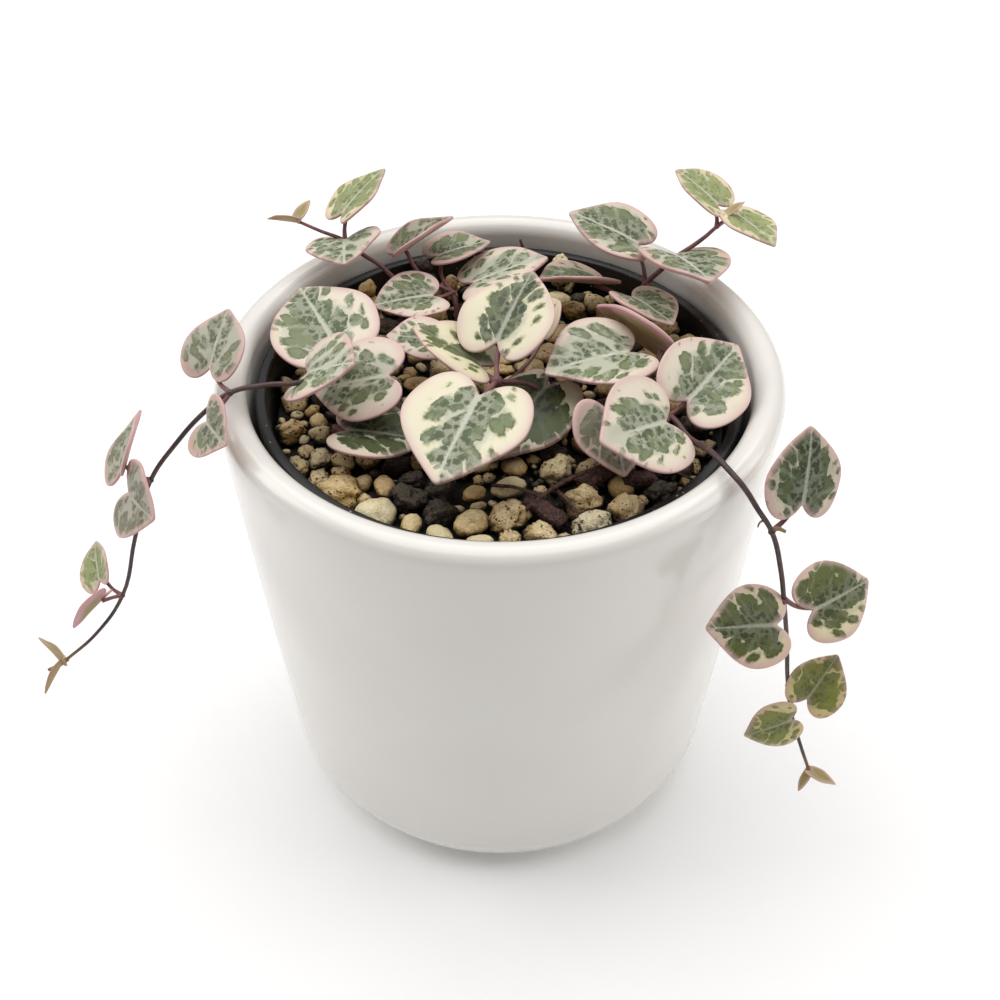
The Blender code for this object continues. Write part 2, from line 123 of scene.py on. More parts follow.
class Outputs:
    """The outputs of a node, by name."""

    def __init__(self, finish, made):
        self.finish = finish
        self.made = made

    def __getitem__(self, name):
        """An output by its name, or by its number where names repeat."""
        return Wire(self.finish, self.made.outputs[name])


print("sums that a wire can stand in:", "a + b, a * b, a - b, 1 - a, abs(a)")


# %% A finish: one material under construction
class Finish:
    """A Principled material. Its node method makes every kind of node; the others are short forms."""

    def __init__(self, name):
        self.material = bpy.data.materials.new(name)
        self.material.use_nodes = True
        self.tree = self.material.node_tree
        self.shader = self.tree.nodes["Principled BSDF"]

    def node(self, kind, settings, sockets):
        made = self.tree.nodes.new(kind)
        for key, value in settings.items():
            if key == "stops":
                ramp = made.color_ramp.elements
                for _ in value[2:]:
                    ramp.new(0.5)
                for stop, (place, shade) in zip(ramp, value):
                    stop.position = place
                    stop.color = (shade, shade, shade, 1)
            else:
                setattr(made, key, value)
        for key, value in sockets.items():
            self.feed(made.inputs[key], value)
        return Outputs(self, made)

    def feed(self, socket, value):
        if isinstance(value, Wire):
            self.tree.links.new(value.socket, socket)
        elif socket.type == "RGBA":
            socket.default_value = (*value, 1)
        else:
            socket.default_value = value

    def place(self):
        """The surface's own place in millimetres."""
        point = self.node("ShaderNodeTexCoord", {}, {})["Object"]
        return self.stretch(point, 1 / MM)

    def stretch(self, vector, factor):
        sockets = {"Vector": vector, "Scale": factor}
        return self.node("ShaderNodeVectorMath", {"operation": "SCALE"}, sockets)["Vector"]

    def attribute(self, name):
        """A vector that was stored on the mesh, split into its three numbers."""
        vector = self.node("ShaderNodeAttribute", {"attribute_name": name}, {})["Vector"]
        return vector, self.split(vector)

    def split(self, vector):
        parts = self.node("ShaderNodeSeparateXYZ", {}, {"Vector": vector})
        return [parts[axis] for axis in "XYZ"]

    def cloud(self, vector, scale, detail=2.0, roughness=0.5):
        """A noise. Its scale is the number of waves in one unit of the vector."""
        sockets = {"Vector": vector, "Scale": scale, "Detail": detail, "Roughness": roughness}
        return self.node("ShaderNodeTexNoise", {}, sockets)

    def cells(self, vector, scale, kind="3D"):
        """Scattered points: how near the nearest one is, where it lies, and its own random colour."""
        sockets = {"Vector": vector, "Scale": scale}
        return self.node("ShaderNodeTexVoronoi", {"voronoi_dimensions": kind}, sockets)

    def moved(self, vector, push):
        """The vector with another one added."""
        return self.node("ShaderNodeVectorMath", {"operation": "ADD"}, {0: vector, 1: push})["Vector"]

    def warped(self, vector, scale, amount):
        """The vector, pushed about by a noise."""
        push = self.moved(self.cloud(vector, scale)["Color"], (-0.5, -0.5, -0.5))
        return self.moved(vector, self.stretch(push, amount))

    def step(self, value, low, high):
        """0 below low, 1 above high, and a soft step between."""
        sockets = {"Value": value, "From Min": low, "From Max": high}
        return self.node("ShaderNodeMapRange", {"interpolation_type": "SMOOTHSTEP"}, sockets)["Result"]

    def blend(self, share, first, second):
        """A colour between two others. The node has inputs for numbers and vectors too, with the same
        names, so its colour sockets go by number: share 0, colours 6 and 7, result 2."""
        return self.node("ShaderNodeMix", {"data_type": "RGBA"}, {0: share, 6: first, 7: second})[2]

    def relief(self, height, distance, strength=1.0):
        """A bump whose full height is the distance, in millimetres."""
        sockets = {"Height": height, "Distance": distance * MM, "Strength": strength}
        return self.node("ShaderNodeBump", {}, sockets)["Normal"]

    def set(self, **sockets):
        """Fills sockets of the shader, whose names are written with _ for a space."""
        for key, value in sockets.items():
            self.feed(self.shader.inputs[key.replace("_", " ")], value)
        return self.material


def rgb(red, green, blue):
    """A colour as a painter reads it off a chart, 0 to 255, in the linear numbers that shaders want."""
    shares = [channel / 255 for channel in (red, green, blue)]
    return tuple(s / 12.92 if s <= 0.04045 else ((s + 0.055) / 1.055) ** 2.4 for s in shares)


print("a mid grey in linear numbers:", [round(channel, 3) for channel in rgb(128, 128, 128)])

# %% [markdown]
# ## From a bmesh to a piece
#
# Every piece goes the same way: a bmesh is filled by operators, becomes a mesh, and gets one object at
# the origin, so that its place is in its mesh. Then it takes the place of a CAD node, which hides. A few
# helpers do that, because writing it out for each piece would hide what differs. Small parts, such as a
# stone, are made on their own and then poured into the piece, because every operator takes longer the
# more corners a bmesh already holds.

# %% A new object from a bmesh
def made_object(name, bm, material=None):
    mesh = bpy.data.meshes.new(name)
    bm.to_mesh(mesh)
    bm.free()
    mesh.shade_smooth()
    made = bpy.data.objects.new(name, mesh)
    bpy.context.scene.collection.objects.link(made)
    if material is not None:
        mesh.materials.append(material)
    return made


def copied(bm):
    """The bmesh as a mesh of its own."""
    mesh = bpy.data.meshes.new("part")
    bm.to_mesh(mesh)
    return mesh


def poured(bm, mesh):
    """Adds a mesh to a bmesh and removes it. Returns its corners in the bmesh."""
    known = len(bm.verts)
    bm.from_mesh(mesh)
    bpy.data.meshes.remove(mesh)
    bm.verts.ensure_lookup_table()
    return bm.verts[known:]


def welded(bm, near):
    """Merges corners that lie within near millimetres, and turns the faces outwards."""
    bmesh.ops.remove_doubles(bm, verts=bm.verts, dist=near * MM)
    bmesh.ops.recalc_face_normals(bm, faces=bm.faces)


def stands_for(piece, node):
    """A fine piece that takes the place of a CAD node."""
    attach(piece, "root")
    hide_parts(node)
    print(piece.name, "stands for", node, "with", len(piece.data.polygons), "faces")


print("nodes to stand for:", len(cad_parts))

# %% [markdown]
# ## The glaze
#
# The cachepot is white stoneware under a clear satin glaze. It is hard and smooth, yet never perfect: the
# white shifts a little where the glaze pooled, its surface has the faintest dimples, and here and there sits
# an iron speck. A plain white with gloss would look like plastic, so a broad cloud moves the colour a
# little, a finer one moves the gloss, and a faint bump gives the reflections something to catch on.

# %% White satin glaze
finish = Finish("white_satin_glaze")
place = finish.place()
pooled = finish.cloud(place, 0.045, 3.0)["Fac"]
colour = finish.blend(finish.step(pooled, 0.2, 0.8), rgb(234, 231, 225), rgb(231, 227, 221))
spots = finish.cells(place, 0.055)["Distance"]
spots = spots + finish.cloud(place, 1.6)["Fac"] * 0.012
speck = 1 - finish.step(spots, 0.016, 0.026)
colour = finish.blend(speck * 0.35, colour, rgb(120, 112, 104))
dimples = finish.cloud(place, 0.55)["Fac"]
gloss = finish.cloud(place, 0.12)["Fac"] * 0.06 + 0.2
glaze = finish.set(
    Base_Color=colour, Roughness=gloss, Normal=finish.relief(dimples, 0.05, 0.2), IOR=1.5,
    Coat_Weight=0.35, Coat_Roughness=0.12,
)
print("made", glaze.name)

# %% [markdown]
# ## The cachepot
#
# A potter throws this shape: a thick wall that opens from a rounded foot to a rounded lip. In Blender the
# same thing is a profile that is spun about the axis. The CAD solid has 44 flat sides, which would show as
# corners along the rim, so the profile is spun again here in 160 steps from the same numbers.

# %% Spin a profile
def arc(centre, radius, start, end, steps):
    """Points along a circular arc in the profile's plane, with angles in degrees from +X."""
    turns = [math.radians(start + (end - start) * step / steps) for step in range(steps + 1)]
    return [(centre[0] + radius * math.cos(t), centre[1] + radius * math.sin(t)) for t in turns]


def spun(name, profile, steps, material):
    """A closed profile at +X, turned about Z into a solid."""
    bm = bmesh.new()
    points = [bm.verts.new(Vector((x, 0, z)) * MM) for x, z in profile]
    lines = [bm.edges.new(pair) for pair in zip(points, points[1:] + points[:1])]
    bmesh.ops.spin(
        bm, geom=points + lines, cent=(0, 0, 0), axis=(0, 0, 1), angle=2 * math.pi, steps=steps,
        use_merge=True, use_duplicate=False,
    )
    welded(bm, 0.002)
    return made_object(name, bm, material)


print("a quarter circle in 4 steps has", len(arc((0, 0), 1, 0, 90, 4)), "points")

# %% The cachepot's profile
POT_HEIGHT = 88
RIM_RADIUS = 45
WALL = 5
LIP = WALL / 2
FLOOR = 5
FOOT_RADIUS = 29
FOOT_CORNER = 11.6
WALL_BOW = 0.3
WELL_TOP = 76  # the inner wall is upright above this height
POT_SIDES = 160
WALL_STEPS = 10
CORNER_STEPS = 12
INNER_CORNER_STEPS = 8
LIP_STEPS = 10

lip_centre = (RIM_RADIUS - LIP, POT_HEIGHT - LIP)
wall_foot = (FOOT_RADIUS + FOOT_CORNER, FOOT_CORNER)
profile = arc(lip_centre, LIP, 90, 0, LIP_STEPS)
for step in range(1, WALL_STEPS):
    share = step / WALL_STEPS
    bow = WALL_BOW * math.sin(math.pi * share)
    profile.append((
        RIM_RADIUS + (wall_foot[0] - RIM_RADIUS) * share + bow,
        lip_centre[1] + (wall_foot[1] - lip_centre[1]) * share,
    ))
profile += arc((FOOT_RADIUS, FOOT_CORNER), FOOT_CORNER, 0, -90, CORNER_STEPS)
profile += [(0, 0), (0, FLOOR)]
inner_corner = FOOT_CORNER - WALL
profile += arc((FOOT_RADIUS, FLOOR + inner_corner), inner_corner, -90, 0, INNER_CORNER_STEPS)
profile += [(RIM_RADIUS - WALL, WELL_TOP)]
profile += arc(lip_centre, LIP, 180, 90, LIP_STEPS)[:-1]
cachepot = spun("glazed_cachepot", profile, POT_SIDES, glaze)
stands_for(cachepot, "ceramic_pot")

# %% [markdown]
# ## The nursery pot
#
# The plant still stands in the thin black pot that it was sold in. Only its rolled rim shows, as a black
# line round the mix. It is injection moulded polypropylene, matt with a soft sheen, and pale grit from the
# dressing has dusted it. The dust is a cell pattern whose small round dots differ in strength.

# %% Dusty black plastic
finish = Finish("dusty_black_plastic")
place = finish.place()
worn = finish.cloud(place, 0.3, 4.0)["Fac"]
colour = finish.blend(finish.step(worn, 0.35, 0.75), rgb(9, 9, 10), rgb(22, 21, 22))
dust = finish.cells(finish.warped(place, 1.3, 0.6), 0.9)
dot = 1 - finish.step(dust["Distance"], 0.05, 0.16)
chosen = finish.step(finish.split(dust["Color"])[0], 0.5, 0.8)
colour = finish.blend(dot * chosen * 0.85, colour, rgb(196, 188, 176))
scratch = finish.cloud(place, 2.2, 3.0)["Fac"]
plastic = finish.set(
    Base_Color=colour, Roughness=worn * 0.25 + 0.33, Normal=finish.relief(scratch, 0.04, 0.5)
)
print("made", plastic.name)

# %% The nursery pot, with its rolled rim and drainage holes
INNER_TOP = 84
INNER_RADIUS = 38.2
INNER_FOOT_RADIUS = 29
INNER_WALL = 1
INNER_FOOT = FLOOR + 0.3
ROLL = 0.7
ROLL_HEIGHT = 4
ROLL_EDGE = 0.4
ROLL_STEPS = 4
FOOT_CHAMFER = 1.5
INNER_SIDES = 128
DRAINS = 5
DRAIN_RING = 18
DRAIN_RADIUS = 3.5
DRAIN_SIDES = 24

roll_top = INNER_TOP - ROLL_EDGE
profile = [(INNER_RADIUS - INNER_WALL, roll_top)]
profile += arc((INNER_RADIUS - INNER_WALL + ROLL_EDGE, roll_top), ROLL_EDGE, 180, 90, ROLL_STEPS)
profile += arc((INNER_RADIUS + ROLL - ROLL_EDGE, roll_top), ROLL_EDGE, 90, 0, ROLL_STEPS)
profile += [
    (INNER_RADIUS + ROLL, INNER_TOP - ROLL_HEIGHT),
    (INNER_RADIUS - ROLL_EDGE, INNER_TOP - ROLL_HEIGHT - ROLL_EDGE),
    (INNER_FOOT_RADIUS + FOOT_CHAMFER / 2, INNER_FOOT + FOOT_CHAMFER),
    (INNER_FOOT_RADIUS - FOOT_CHAMFER / 2, INNER_FOOT),
    (0, INNER_FOOT),
    (0, INNER_FOOT + INNER_WALL),
    (INNER_FOOT_RADIUS - FOOT_CHAMFER, INNER_FOOT + INNER_WALL),
    (INNER_FOOT_RADIUS, INNER_FOOT + INNER_WALL + FOOT_CHAMFER),
    (INNER_RADIUS - INNER_WALL - ROLL_EDGE, INNER_TOP - ROLL_HEIGHT - INNER_WALL),
]
nursery_pot = spun("black_nursery_pot", profile, INNER_SIDES, plastic)
stands_for(nursery_pot, "nursery_pot")

# %% [markdown]
# Five drainage holes pierce its floor. A hole is easiest to cut with a Boolean: the cutters are plain
# cones, and the evaluated mesh is kept as the new mesh, so no live modifier and no cutter stays behind.

# %% Cut the drainage holes
def pierced(made, cutters):
    for cutter in cutters:
        hole = made.modifiers.new("hole", "BOOLEAN")
        hole.operation = "DIFFERENCE"
        hole.object = cutter
        hole.solver = "EXACT"
    bpy.context.view_layer.update()
    evaluated = made.evaluated_get(bpy.context.evaluated_depsgraph_get())
    made.data = bpy.data.meshes.new_from_object(evaluated)
    made.modifiers.clear()
    for cutter in cutters:
        bpy.data.objects.remove(cutter, do_unlink=True)


cutters = []
for index in range(DRAINS):
    turn = 2 * math.pi * (index + 0.5) / DRAINS
    middle = Vector((DRAIN_RING * math.cos(turn), DRAIN_RING * math.sin(turn), INNER_FOOT)) * MM
    bm = bmesh.new()
    bmesh.ops.create_cone(
        bm, cap_ends=True, segments=DRAIN_SIDES, radius1=DRAIN_RADIUS * MM, radius2=DRAIN_RADIUS * MM,
        depth=2 * DRAIN_RADIUS * MM, matrix=Matrix.Translation(middle),
    )
    cutters.append(made_object("drain", bm))
pierced(nursery_pot, cutters)
print("drainage holes:", DRAINS)

# %% [markdown]
# ## The soil
#
# Between the stones there is dark, moist soil. It is painted nearly black, partly its own dark brown and
# partly painted shade for the deep gaps. It is a disc whose faces are inset into rings and then pushed up
# and down by a noise, so that it looks crumbled. Its edge is extruded down to a plug that fills the nursery
# pot, as the CAD solid does.

# %% Dark crumbled soil, painted nearly black as shade
finish = Finish("dark_moist_soil")
place = finish.place()
crumbs = finish.cells(finish.warped(place, 1.1, 0.7), 0.9)
clod = finish.cloud(place, 0.5, 5.0, 0.65)["Fac"]
# Painted shade: the soil's colours run down to nearly black, partly its own dark brown and partly the shade
# of the deep gaps
colour = finish.blend(finish.step(clod, 0.4, 0.75), rgb(9, 7, 6), rgb(30, 22, 17))
bright = finish.step(finish.split(crumbs["Color"])[0], 0.7, 1.0)
colour = finish.blend(bright * 0.35, colour, rgb(70, 52, 38))
height = clod + (1 - crumbs["Distance"]) * 0.5
soil_look = finish.set(
    Base_Color=colour, Roughness=clod * 0.3 + 0.6, Normal=finish.relief(height, 0.7, 0.9)
)
print("made", soil_look.name)

# %% The soil's surface and the plug below it
MIX_TOP = 78.3
MIX_RADIUS = 36.2
MIX_FOOT = FLOOR + INNER_WALL + 0.6
MIX_FOOT_RADIUS = 27
SOIL_SIDES = 96
SOIL_RINGS = 30
SOIL_BELOW = 0.9  # the bare soil lies this far under the stones' middles
SOIL_CRUMBLE = 0.8
CRUMBS = 0.45  # noise waves in a millimetre

bm = bmesh.new()
bmesh.ops.create_circle(bm, cap_ends=True, segments=SOIL_SIDES, radius=MIX_RADIUS * MM)
edge = list(bm.edges)
middle = list(bm.faces)
for ring in range(SOIL_RINGS):
    bmesh.ops.inset_region(
        bm, faces=middle, thickness=MIX_RADIUS / (SOIL_RINGS + 1) * MM, use_boundary=True,
        use_even_offset=True,
    )
bmesh.ops.poke(bm, faces=middle)
for corner in bm.verts:
    if not corner.is_boundary:
        bumps = noise.fractal(corner.co / MM * CRUMBS, 1.0, 2.0, 3)
        corner.co.z = bumps * SOIL_CRUMBLE * MM
side = bmesh.ops.extrude_edge_only(bm, edges=edge)["geom"]
rim = [item for item in side if isinstance(item, bmesh.types.BMVert)]
for corner in rim:
    corner.co *= MIX_FOOT_RADIUS / MIX_RADIUS
    corner.co.z = (MIX_FOOT - MIX_TOP + SOIL_BELOW) * MM
bmesh.ops.contextual_create(bm, geom=[item for item in side if isinstance(item, bmesh.types.BMEdge)])
bmesh.ops.translate(bm, verts=bm.verts, vec=(0, 0, (MIX_TOP - SOIL_BELOW) * MM))
bmesh.ops.recalc_face_normals(bm, faces=bm.faces)
soil = made_object("crumbled_soil", bm, soil_look)
stands_for(soil, "potting_mix")

# %% [markdown]
# ## The stones
#
# The dressing is a mixture. Most stones are tan or ochre pumice with small pits, some are smooth and pale,
# and a few are dark reddish lava. A stone starts as an icosphere. Noises push its corners: wide ones for
# the outline, and cell noise for the pits of pumice and lava. Each stone stores its kind and two numbers
# for its colour on its corners, so all of them can share one material. An Ambient Occlusion node tells
# where a surface lies close to others: there painted shade makes the stones nearly black. The surface's own
# normal tells which side is up: a painted highlight lightens the tops and painted shade darkens the sides,
# and painted shade darkens the pits too.

# %% The stones' colours
finish = Finish("pumice_pebble_and_lava")
place = finish.place()
_, (kind, shade, warmth) = finish.attribute("stone")
pale = finish.blend(warmth, rgb(242, 228, 192), rgb(248, 230, 166))
tan = finish.blend(warmth, rgb(214, 184, 132), rgb(224, 174, 86))
body = finish.blend(finish.step(shade, 0.25, 0.9), tan, pale)
stain = finish.cloud(place, 0.42, 4.0, 0.6)["Fac"]
body = finish.blend(finish.step(stain, 0.5, 0.7) * 0.7, body, rgb(150, 104, 48))
dust = finish.cloud(place, 2.6, 3.0, 0.7)["Fac"]
body = finish.blend(finish.step(dust, 0.48, 0.68) * 0.6, body, rgb(252, 238, 198))
dark = finish.blend(finish.step(dust, 0.45, 0.75), rgb(26, 18, 16), rgb(104, 82, 70))
lava = finish.step(kind, 1.4, 1.6)
colour = finish.blend(lava, body, dark)
print("nodes so far:", len(finish.tree.nodes))

# %% The stones' pits, with painted shade in them, on the sides and between stones, and painted light on top
PAINTED_SHADE_GAP = 2.2  # painted shade darkens a stone where another surface is nearer than this

pits = finish.cells(finish.warped(place, 0.9, 0.9), 1.15)["Distance"]
fine = finish.cells(finish.warped(place, 2.0, 0.3), 2.9)["Distance"]
porous = finish.step(kind, 0.4, 0.6)
pit = (1 - finish.step(pits, 0.12, 0.3)) * porous
small = (1 - finish.step(fine, 0.1, 0.32)) * (porous * 0.7 + 0.12)
# Painted shade: the pits and the small pits are darkened
colour = finish.blend(pit * 0.8, colour, rgb(60, 38, 20))
colour = finish.blend(small * 0.65, colour, rgb(92, 62, 34))
# A painted highlight lightens the tops, and painted shade darkens the sides
_, _, upward = finish.split(finish.node("ShaderNodeNewGeometry", {}, {})["Normal"])
upward = upward + (dust - 0.5) * 0.6
side = 1 - finish.step(upward, -0.1, 0.6)
colour = finish.blend(side * 0.55, colour, rgb(58, 38, 20))
top = finish.step(upward, 0.45, 1.0) * (1 - lava * 0.8)
colour = finish.blend(top * (1 - pit) * 0.4, colour, rgb(250, 236, 198))
# Painted shade: the colour goes nearly black wherever another surface is near
sockets = {"Distance": PAINTED_SHADE_GAP * MM}
open_air = finish.node("ShaderNodeAmbientOcclusion", {"samples": 6}, sockets)["AO"]
colour = finish.blend(finish.step(open_air, 0.28, 0.82), rgb(10, 7, 5), colour)
height = dust * 0.8 + stain * 0.5 - pit - small * 0.5
stone_look = finish.set(
    Base_Color=colour, Roughness=0.85, Normal=finish.relief(height, 0.6, 1.0)
)
print("made", stone_look.name)

# %% A stone
PEBBLE, PUMICE, LAVA = 0.0, 1.0, 2.0
# lumps, knobs and pits as shares of the half length, then width and height over length
Shape = namedtuple("Shape", "lumps knobs pits wide high")
SHAPES = {
    PEBBLE: Shape(0.16, 0.0, 0.0, 0.68, 0.58),
    PUMICE: Shape(0.36, 0.3, 0.16, 0.8, 0.72),
    LAVA: Shape(0.42, 0.5, 0.2, 0.78, 0.66),
}
LUMP_WAVES = ((1.1, 1.0), (2.7, 0.45))  # noise waves over half a stone, and their strength
KNOB_WAVES = 5.5
PIT_CELLS, PIT_REACH = 1.9, 0.45  # cells over half a stone, and how wide a pit is in one
UNEVEN = (0.9, 1.15)  # each stone's own width and height, over its kind's
STONE_LEAN = 0.4
SEED_RANGE = 99


def add_stone(bm, rng, place, half, kind, shade, warmth, finer):
    """An icosphere pushed about by noises. finer is how often it is divided."""
    shape = SHAPES[kind]
    stone = bmesh.new()
    layer = stone.verts.layers.float_vector.new("stone")
    bmesh.ops.create_icosphere(stone, subdivisions=finer, radius=1.0)
    seed = Vector([rng.uniform(0, SEED_RANGE) for _ in range(3)])
    waves = (*LUMP_WAVES, (KNOB_WAVES, shape.knobs))
    for corner in stone.verts:
        spot = corner.co.copy()
        swell = sum(noise.noise(spot * scale + seed) * strength for scale, strength in waves)
        crater = max(0.0, PIT_REACH - noise.voronoi(spot * PIT_CELLS + seed)[0][0])
        corner.co *= 1 + swell * shape.lumps - crater * shape.pits
        corner[layer] = Vector((kind, shade, warmth))
    wide = shape.wide * rng.uniform(*UNEVEN)
    high = shape.high * rng.uniform(*UNEVEN)
    squash = Matrix.Diagonal((1.0, wide, high, 1.0))
    turn = Matrix.Rotation(rng.uniform(0, math.pi), 4, "Z")
    lean = Matrix.Rotation(rng.uniform(-STONE_LEAN, STONE_LEAN), 4, "Y")
    move = Matrix.Translation(Vector(place) * MM) @ turn @ lean @ squash @ Matrix.Scale(half * MM, 4)
    stone.transform(move)
    poured(bm, copied(stone))
    stone.free()


print("kinds of stone:", len(SHAPES))

# %% [markdown]
# The stones that show clearly in front of the leaves are set one by one, and a few lie heaped on others.

# %% Stones set one by one
# x, y, half length, kind, shade from tan to pale, warmth from grey to ochre
SET_STONES = (
    (-35.2, 3.5, 1.7, PUMICE, 0.4, 0.6), (-33.2, -8.3, 2.5, PUMICE, 0.3, 0.7),
    (-29, -5.6, 1.7, PEBBLE, 0.1, 0.5), (-33.4, -12.7, 0.8, PEBBLE, 0.5, 0.1),
    (-31, -16.6, 2, PUMICE, 0.45, 0.5), (-27.8, -14.6, 2, PUMICE, 0.7, 0.4),
    (-27.6, -19.8, 2, PUMICE, 0.5, 0.6), (-24, -22.6, 3.3, PUMICE, 0.3, 0.9),
    (-24.3, -18, 1.8, PUMICE, 0.2, 0.7), (-20, -24.4, 1.6, PUMICE, 0.35, 0.6),
    (-17.3, -21.2, 2.2, PEBBLE, 0.3, 0.9), (-18.3, -27.2, 3.7, PEBBLE, 1.0, 0.35),
    (-13.4, -23.8, 2.9, LAVA, 0.4, 0.4), (-13.2, -19.8, 2.1, LAVA, 0.7, 0.6),
    (-12.9, -29.2, 2.2, PEBBLE, 0.55, 0.85), (-8.9, -27, 2.7, LAVA, 0.3, 0.4),
    (-8.7, -32, 2.5, PEBBLE, 0.75, 0.55), (-4.1, -29, 3.2, PEBBLE, 0.5, 0.8),
    (-3.9, -22.4, 2, PEBBLE, 0.05, 1.0), (-3.2, -33.2, 2.3, PEBBLE, 0.7, 0.5),
    (1.4, -21.3, 2.7, PEBBLE, 0.6, 0.3), (1.2, -27.6, 2.9, PUMICE, 0.35, 0.3),
    (1.4, -32, 1.8, PUMICE, 0.4, 0.6), (5.8, -31.4, 2.8, PUMICE, 0.5, 0.6),
    (6, -21.9, 1.2, PUMICE, 0.2, 0.6), (8.7, -17.4, 2.8, PUMICE, 0.55, 0.4),
    (12.3, -24.4, 2.9, PUMICE, 0.4, 0.5), (13.4, -29.4, 2.9, PUMICE, 1.0, 0.1),
    (18.6, -26.4, 3.2, PUMICE, 0.35, 0.5), (31.8, -12.4, 2.1, PUMICE, 0.45, 0.6),
    (29.2, -16, 1.9, PUMICE, 0.35, 0.5), (9.5, -32.6, 1.6, PUMICE, 0.3, 0.2),
    (-24.6, 24.6, 1.8, PUMICE, 0.3, 0.9), (-8.9, 30.2, 1.6, PUMICE, 0.25, 0.9),
    (13.2, 25.5, 2.4, PUMICE, 0.3, 0.8), (-20.8, 15.5, 1.9, PUMICE, 0.1, 0.5),
    (-13.5, 4, 2.4, PEBBLE, 0.1, 0.8), (11.8, 33, 1.7, PUMICE, 0.6, 0.5),
    (24, -22.2, 2.3, LAVA, 0.4, 0.6), (34.2, -4.5, 1.5, PUMICE, 0.3, 0.6),
)
# These lie on others, against the back of the pot: x, y, height, then as above
PILED_STONES = (
    (-22.8, 24.6, 81.2, 2.2, PUMICE, 0.3, 0.5), (-23.4, 25.4, 83.6, 1.9, PUMICE, 0.4, 0.9),
    (-13.4, 31.2, 81.4, 2.2, LAVA, 0.3, 0.4), (-13.8, 32.2, 84, 1.8, LAVA, 0.6, 0.5),
    (-9, 30.4, 81.6, 1.7, PUMICE, 0.1, 0.9), (11.2, 32.8, 81.6, 2.1, PUMICE, 0.4, 0.5),
    (11, 33.6, 84.2, 1.7, PUMICE, 0.9, 0.4), (31.8, 12.4, 81.6, 1.8, PUMICE, 0.2, 0.8),
    (28.8, 17, 81, 2.1, PUMICE, 0.3, 0.5), (-31, 12.6, 81, 2, PUMICE, 0.3, 0.7),
)
print("stones set by hand:", len(SET_STONES), "and piled:", len(PILED_STONES))

# %% [markdown]
# The rest are thrown in from the largest size to the smallest: a stone stays where it falls if nothing is
# in its way, so small grit ends up in the gaps, as it does when a real dressing is shaken level. The stems
# keep a clear ring.

# %% Throw the other stones
STONE_SEED = 11
STONE_LEVEL = MIX_TOP + 0.5
STONE_ROOM = 0.8  # neighbours may come this near, as a share of their half lengths together
EDGE_ROOM = 0.8  # and the wall this near, as a share of their own
STEM_ROOM = 1.6  # kept clear round a stem
# range of half lengths, number of throws, how often such a stone is divided
THROWS = (((2.9, 2.3), 900, 3), ((2.2, 1.6), 1400, 3), ((1.5, 1.0), 1200, 2), ((0.9, 0.5), 900, 2))
BARE_SPOT = Vector((9, -22))  # twigs and bark lie here in place of stones
BARE_RADIUS = 6.5
LARGEST_GRIT = 0.9  # on the bare spot
LAVA_UP_TO, PEBBLE_UP_TO = 0.16, 0.36  # shares of the draws, the rest is pumice
SUNK = 0.35  # they lie this much lower than the set ones
LARGER_STANDS = 0.12  # how much higher a larger stone lies, over its half length
UPS_AND_DOWNS = 0.3
PALEST = 0.75  # where 1 is the palest of the set ones


def thrown_stones(rng, taken, roots):
    """Stones that find a free place, from the largest size to the smallest."""
    found = []
    for (large, small), throws, finer in THROWS:
        for _ in range(throws):
            half = rng.uniform(small, large)
            far = (MIX_RADIUS - half * EDGE_ROOM) * math.sqrt(rng.random())
            spot = Vector((far, 0))
            spot.rotate(Matrix.Rotation(rng.uniform(0, 2 * math.pi), 2))
            shade, warmth, draw = rng.random(), rng.random(), rng.random()
            near_twigs = (spot - BARE_SPOT).length < BARE_RADIUS
            if near_twigs and half > LARGEST_GRIT:
                continue
            if any((spot - other).length < (half + size) * STONE_ROOM for other, size in taken):
                continue
            if any((spot - root).length < half * STONE_ROOM + STEM_ROOM for root in roots):
                continue
            kind = PUMICE
            if draw < LAVA_UP_TO or near_twigs:
                kind = LAVA
            elif draw < PEBBLE_UP_TO:
                kind = PEBBLE
            taken.append((spot, half))
            height = STONE_LEVEL - SUNK + half * LARGER_STANDS
            height += rng.uniform(-UPS_AND_DOWNS, UPS_AND_DOWNS)
            found.append(((spot.x, spot.y, height), half, kind, shade * PALEST, warmth, finer))
    return found


print("throws:", sum(throw[1] for throw in THROWS))

# %% [markdown]
# ## The plant
#
# Every stem follows a route of points that the CAD model uses too, from its root in the mix to its tip.
# A leaf has the point where its petiole joins it, three turns in degrees (heading, pitch and roll), its
# length, its width and the fold along its midrib. What the photograph shows of its colours is added here
# as six numbers.

# %% What describes a leaf and a shoot
# node: the route point that the petiole leaves from
# spread: how far the green reaches towards the rim, 1 is nearly all the way
# lean: how far the green sits to the leaf's left, as a share of the half width
# warm: rim from pinkish ivory, 0, to yellow cream, 1, where the green is fresh and young too
# blush: pink along the rim, and near 1 over the whole leaf
# silver: grey net over the green
# depth: green from pale sage, 0, to deep, 1, where a deep green is partly painted shade on a leaf that lies
# in shade
Leaf = namedtuple("Leaf", "node base turn length width fold spread lean warm blush silver depth")
# thick: the stem's radius at its root and at its tip
Shoot = namedtuple("Shoot", "name route thick nodes leaves")
print("numbers for a leaf:", len(Leaf._fields))

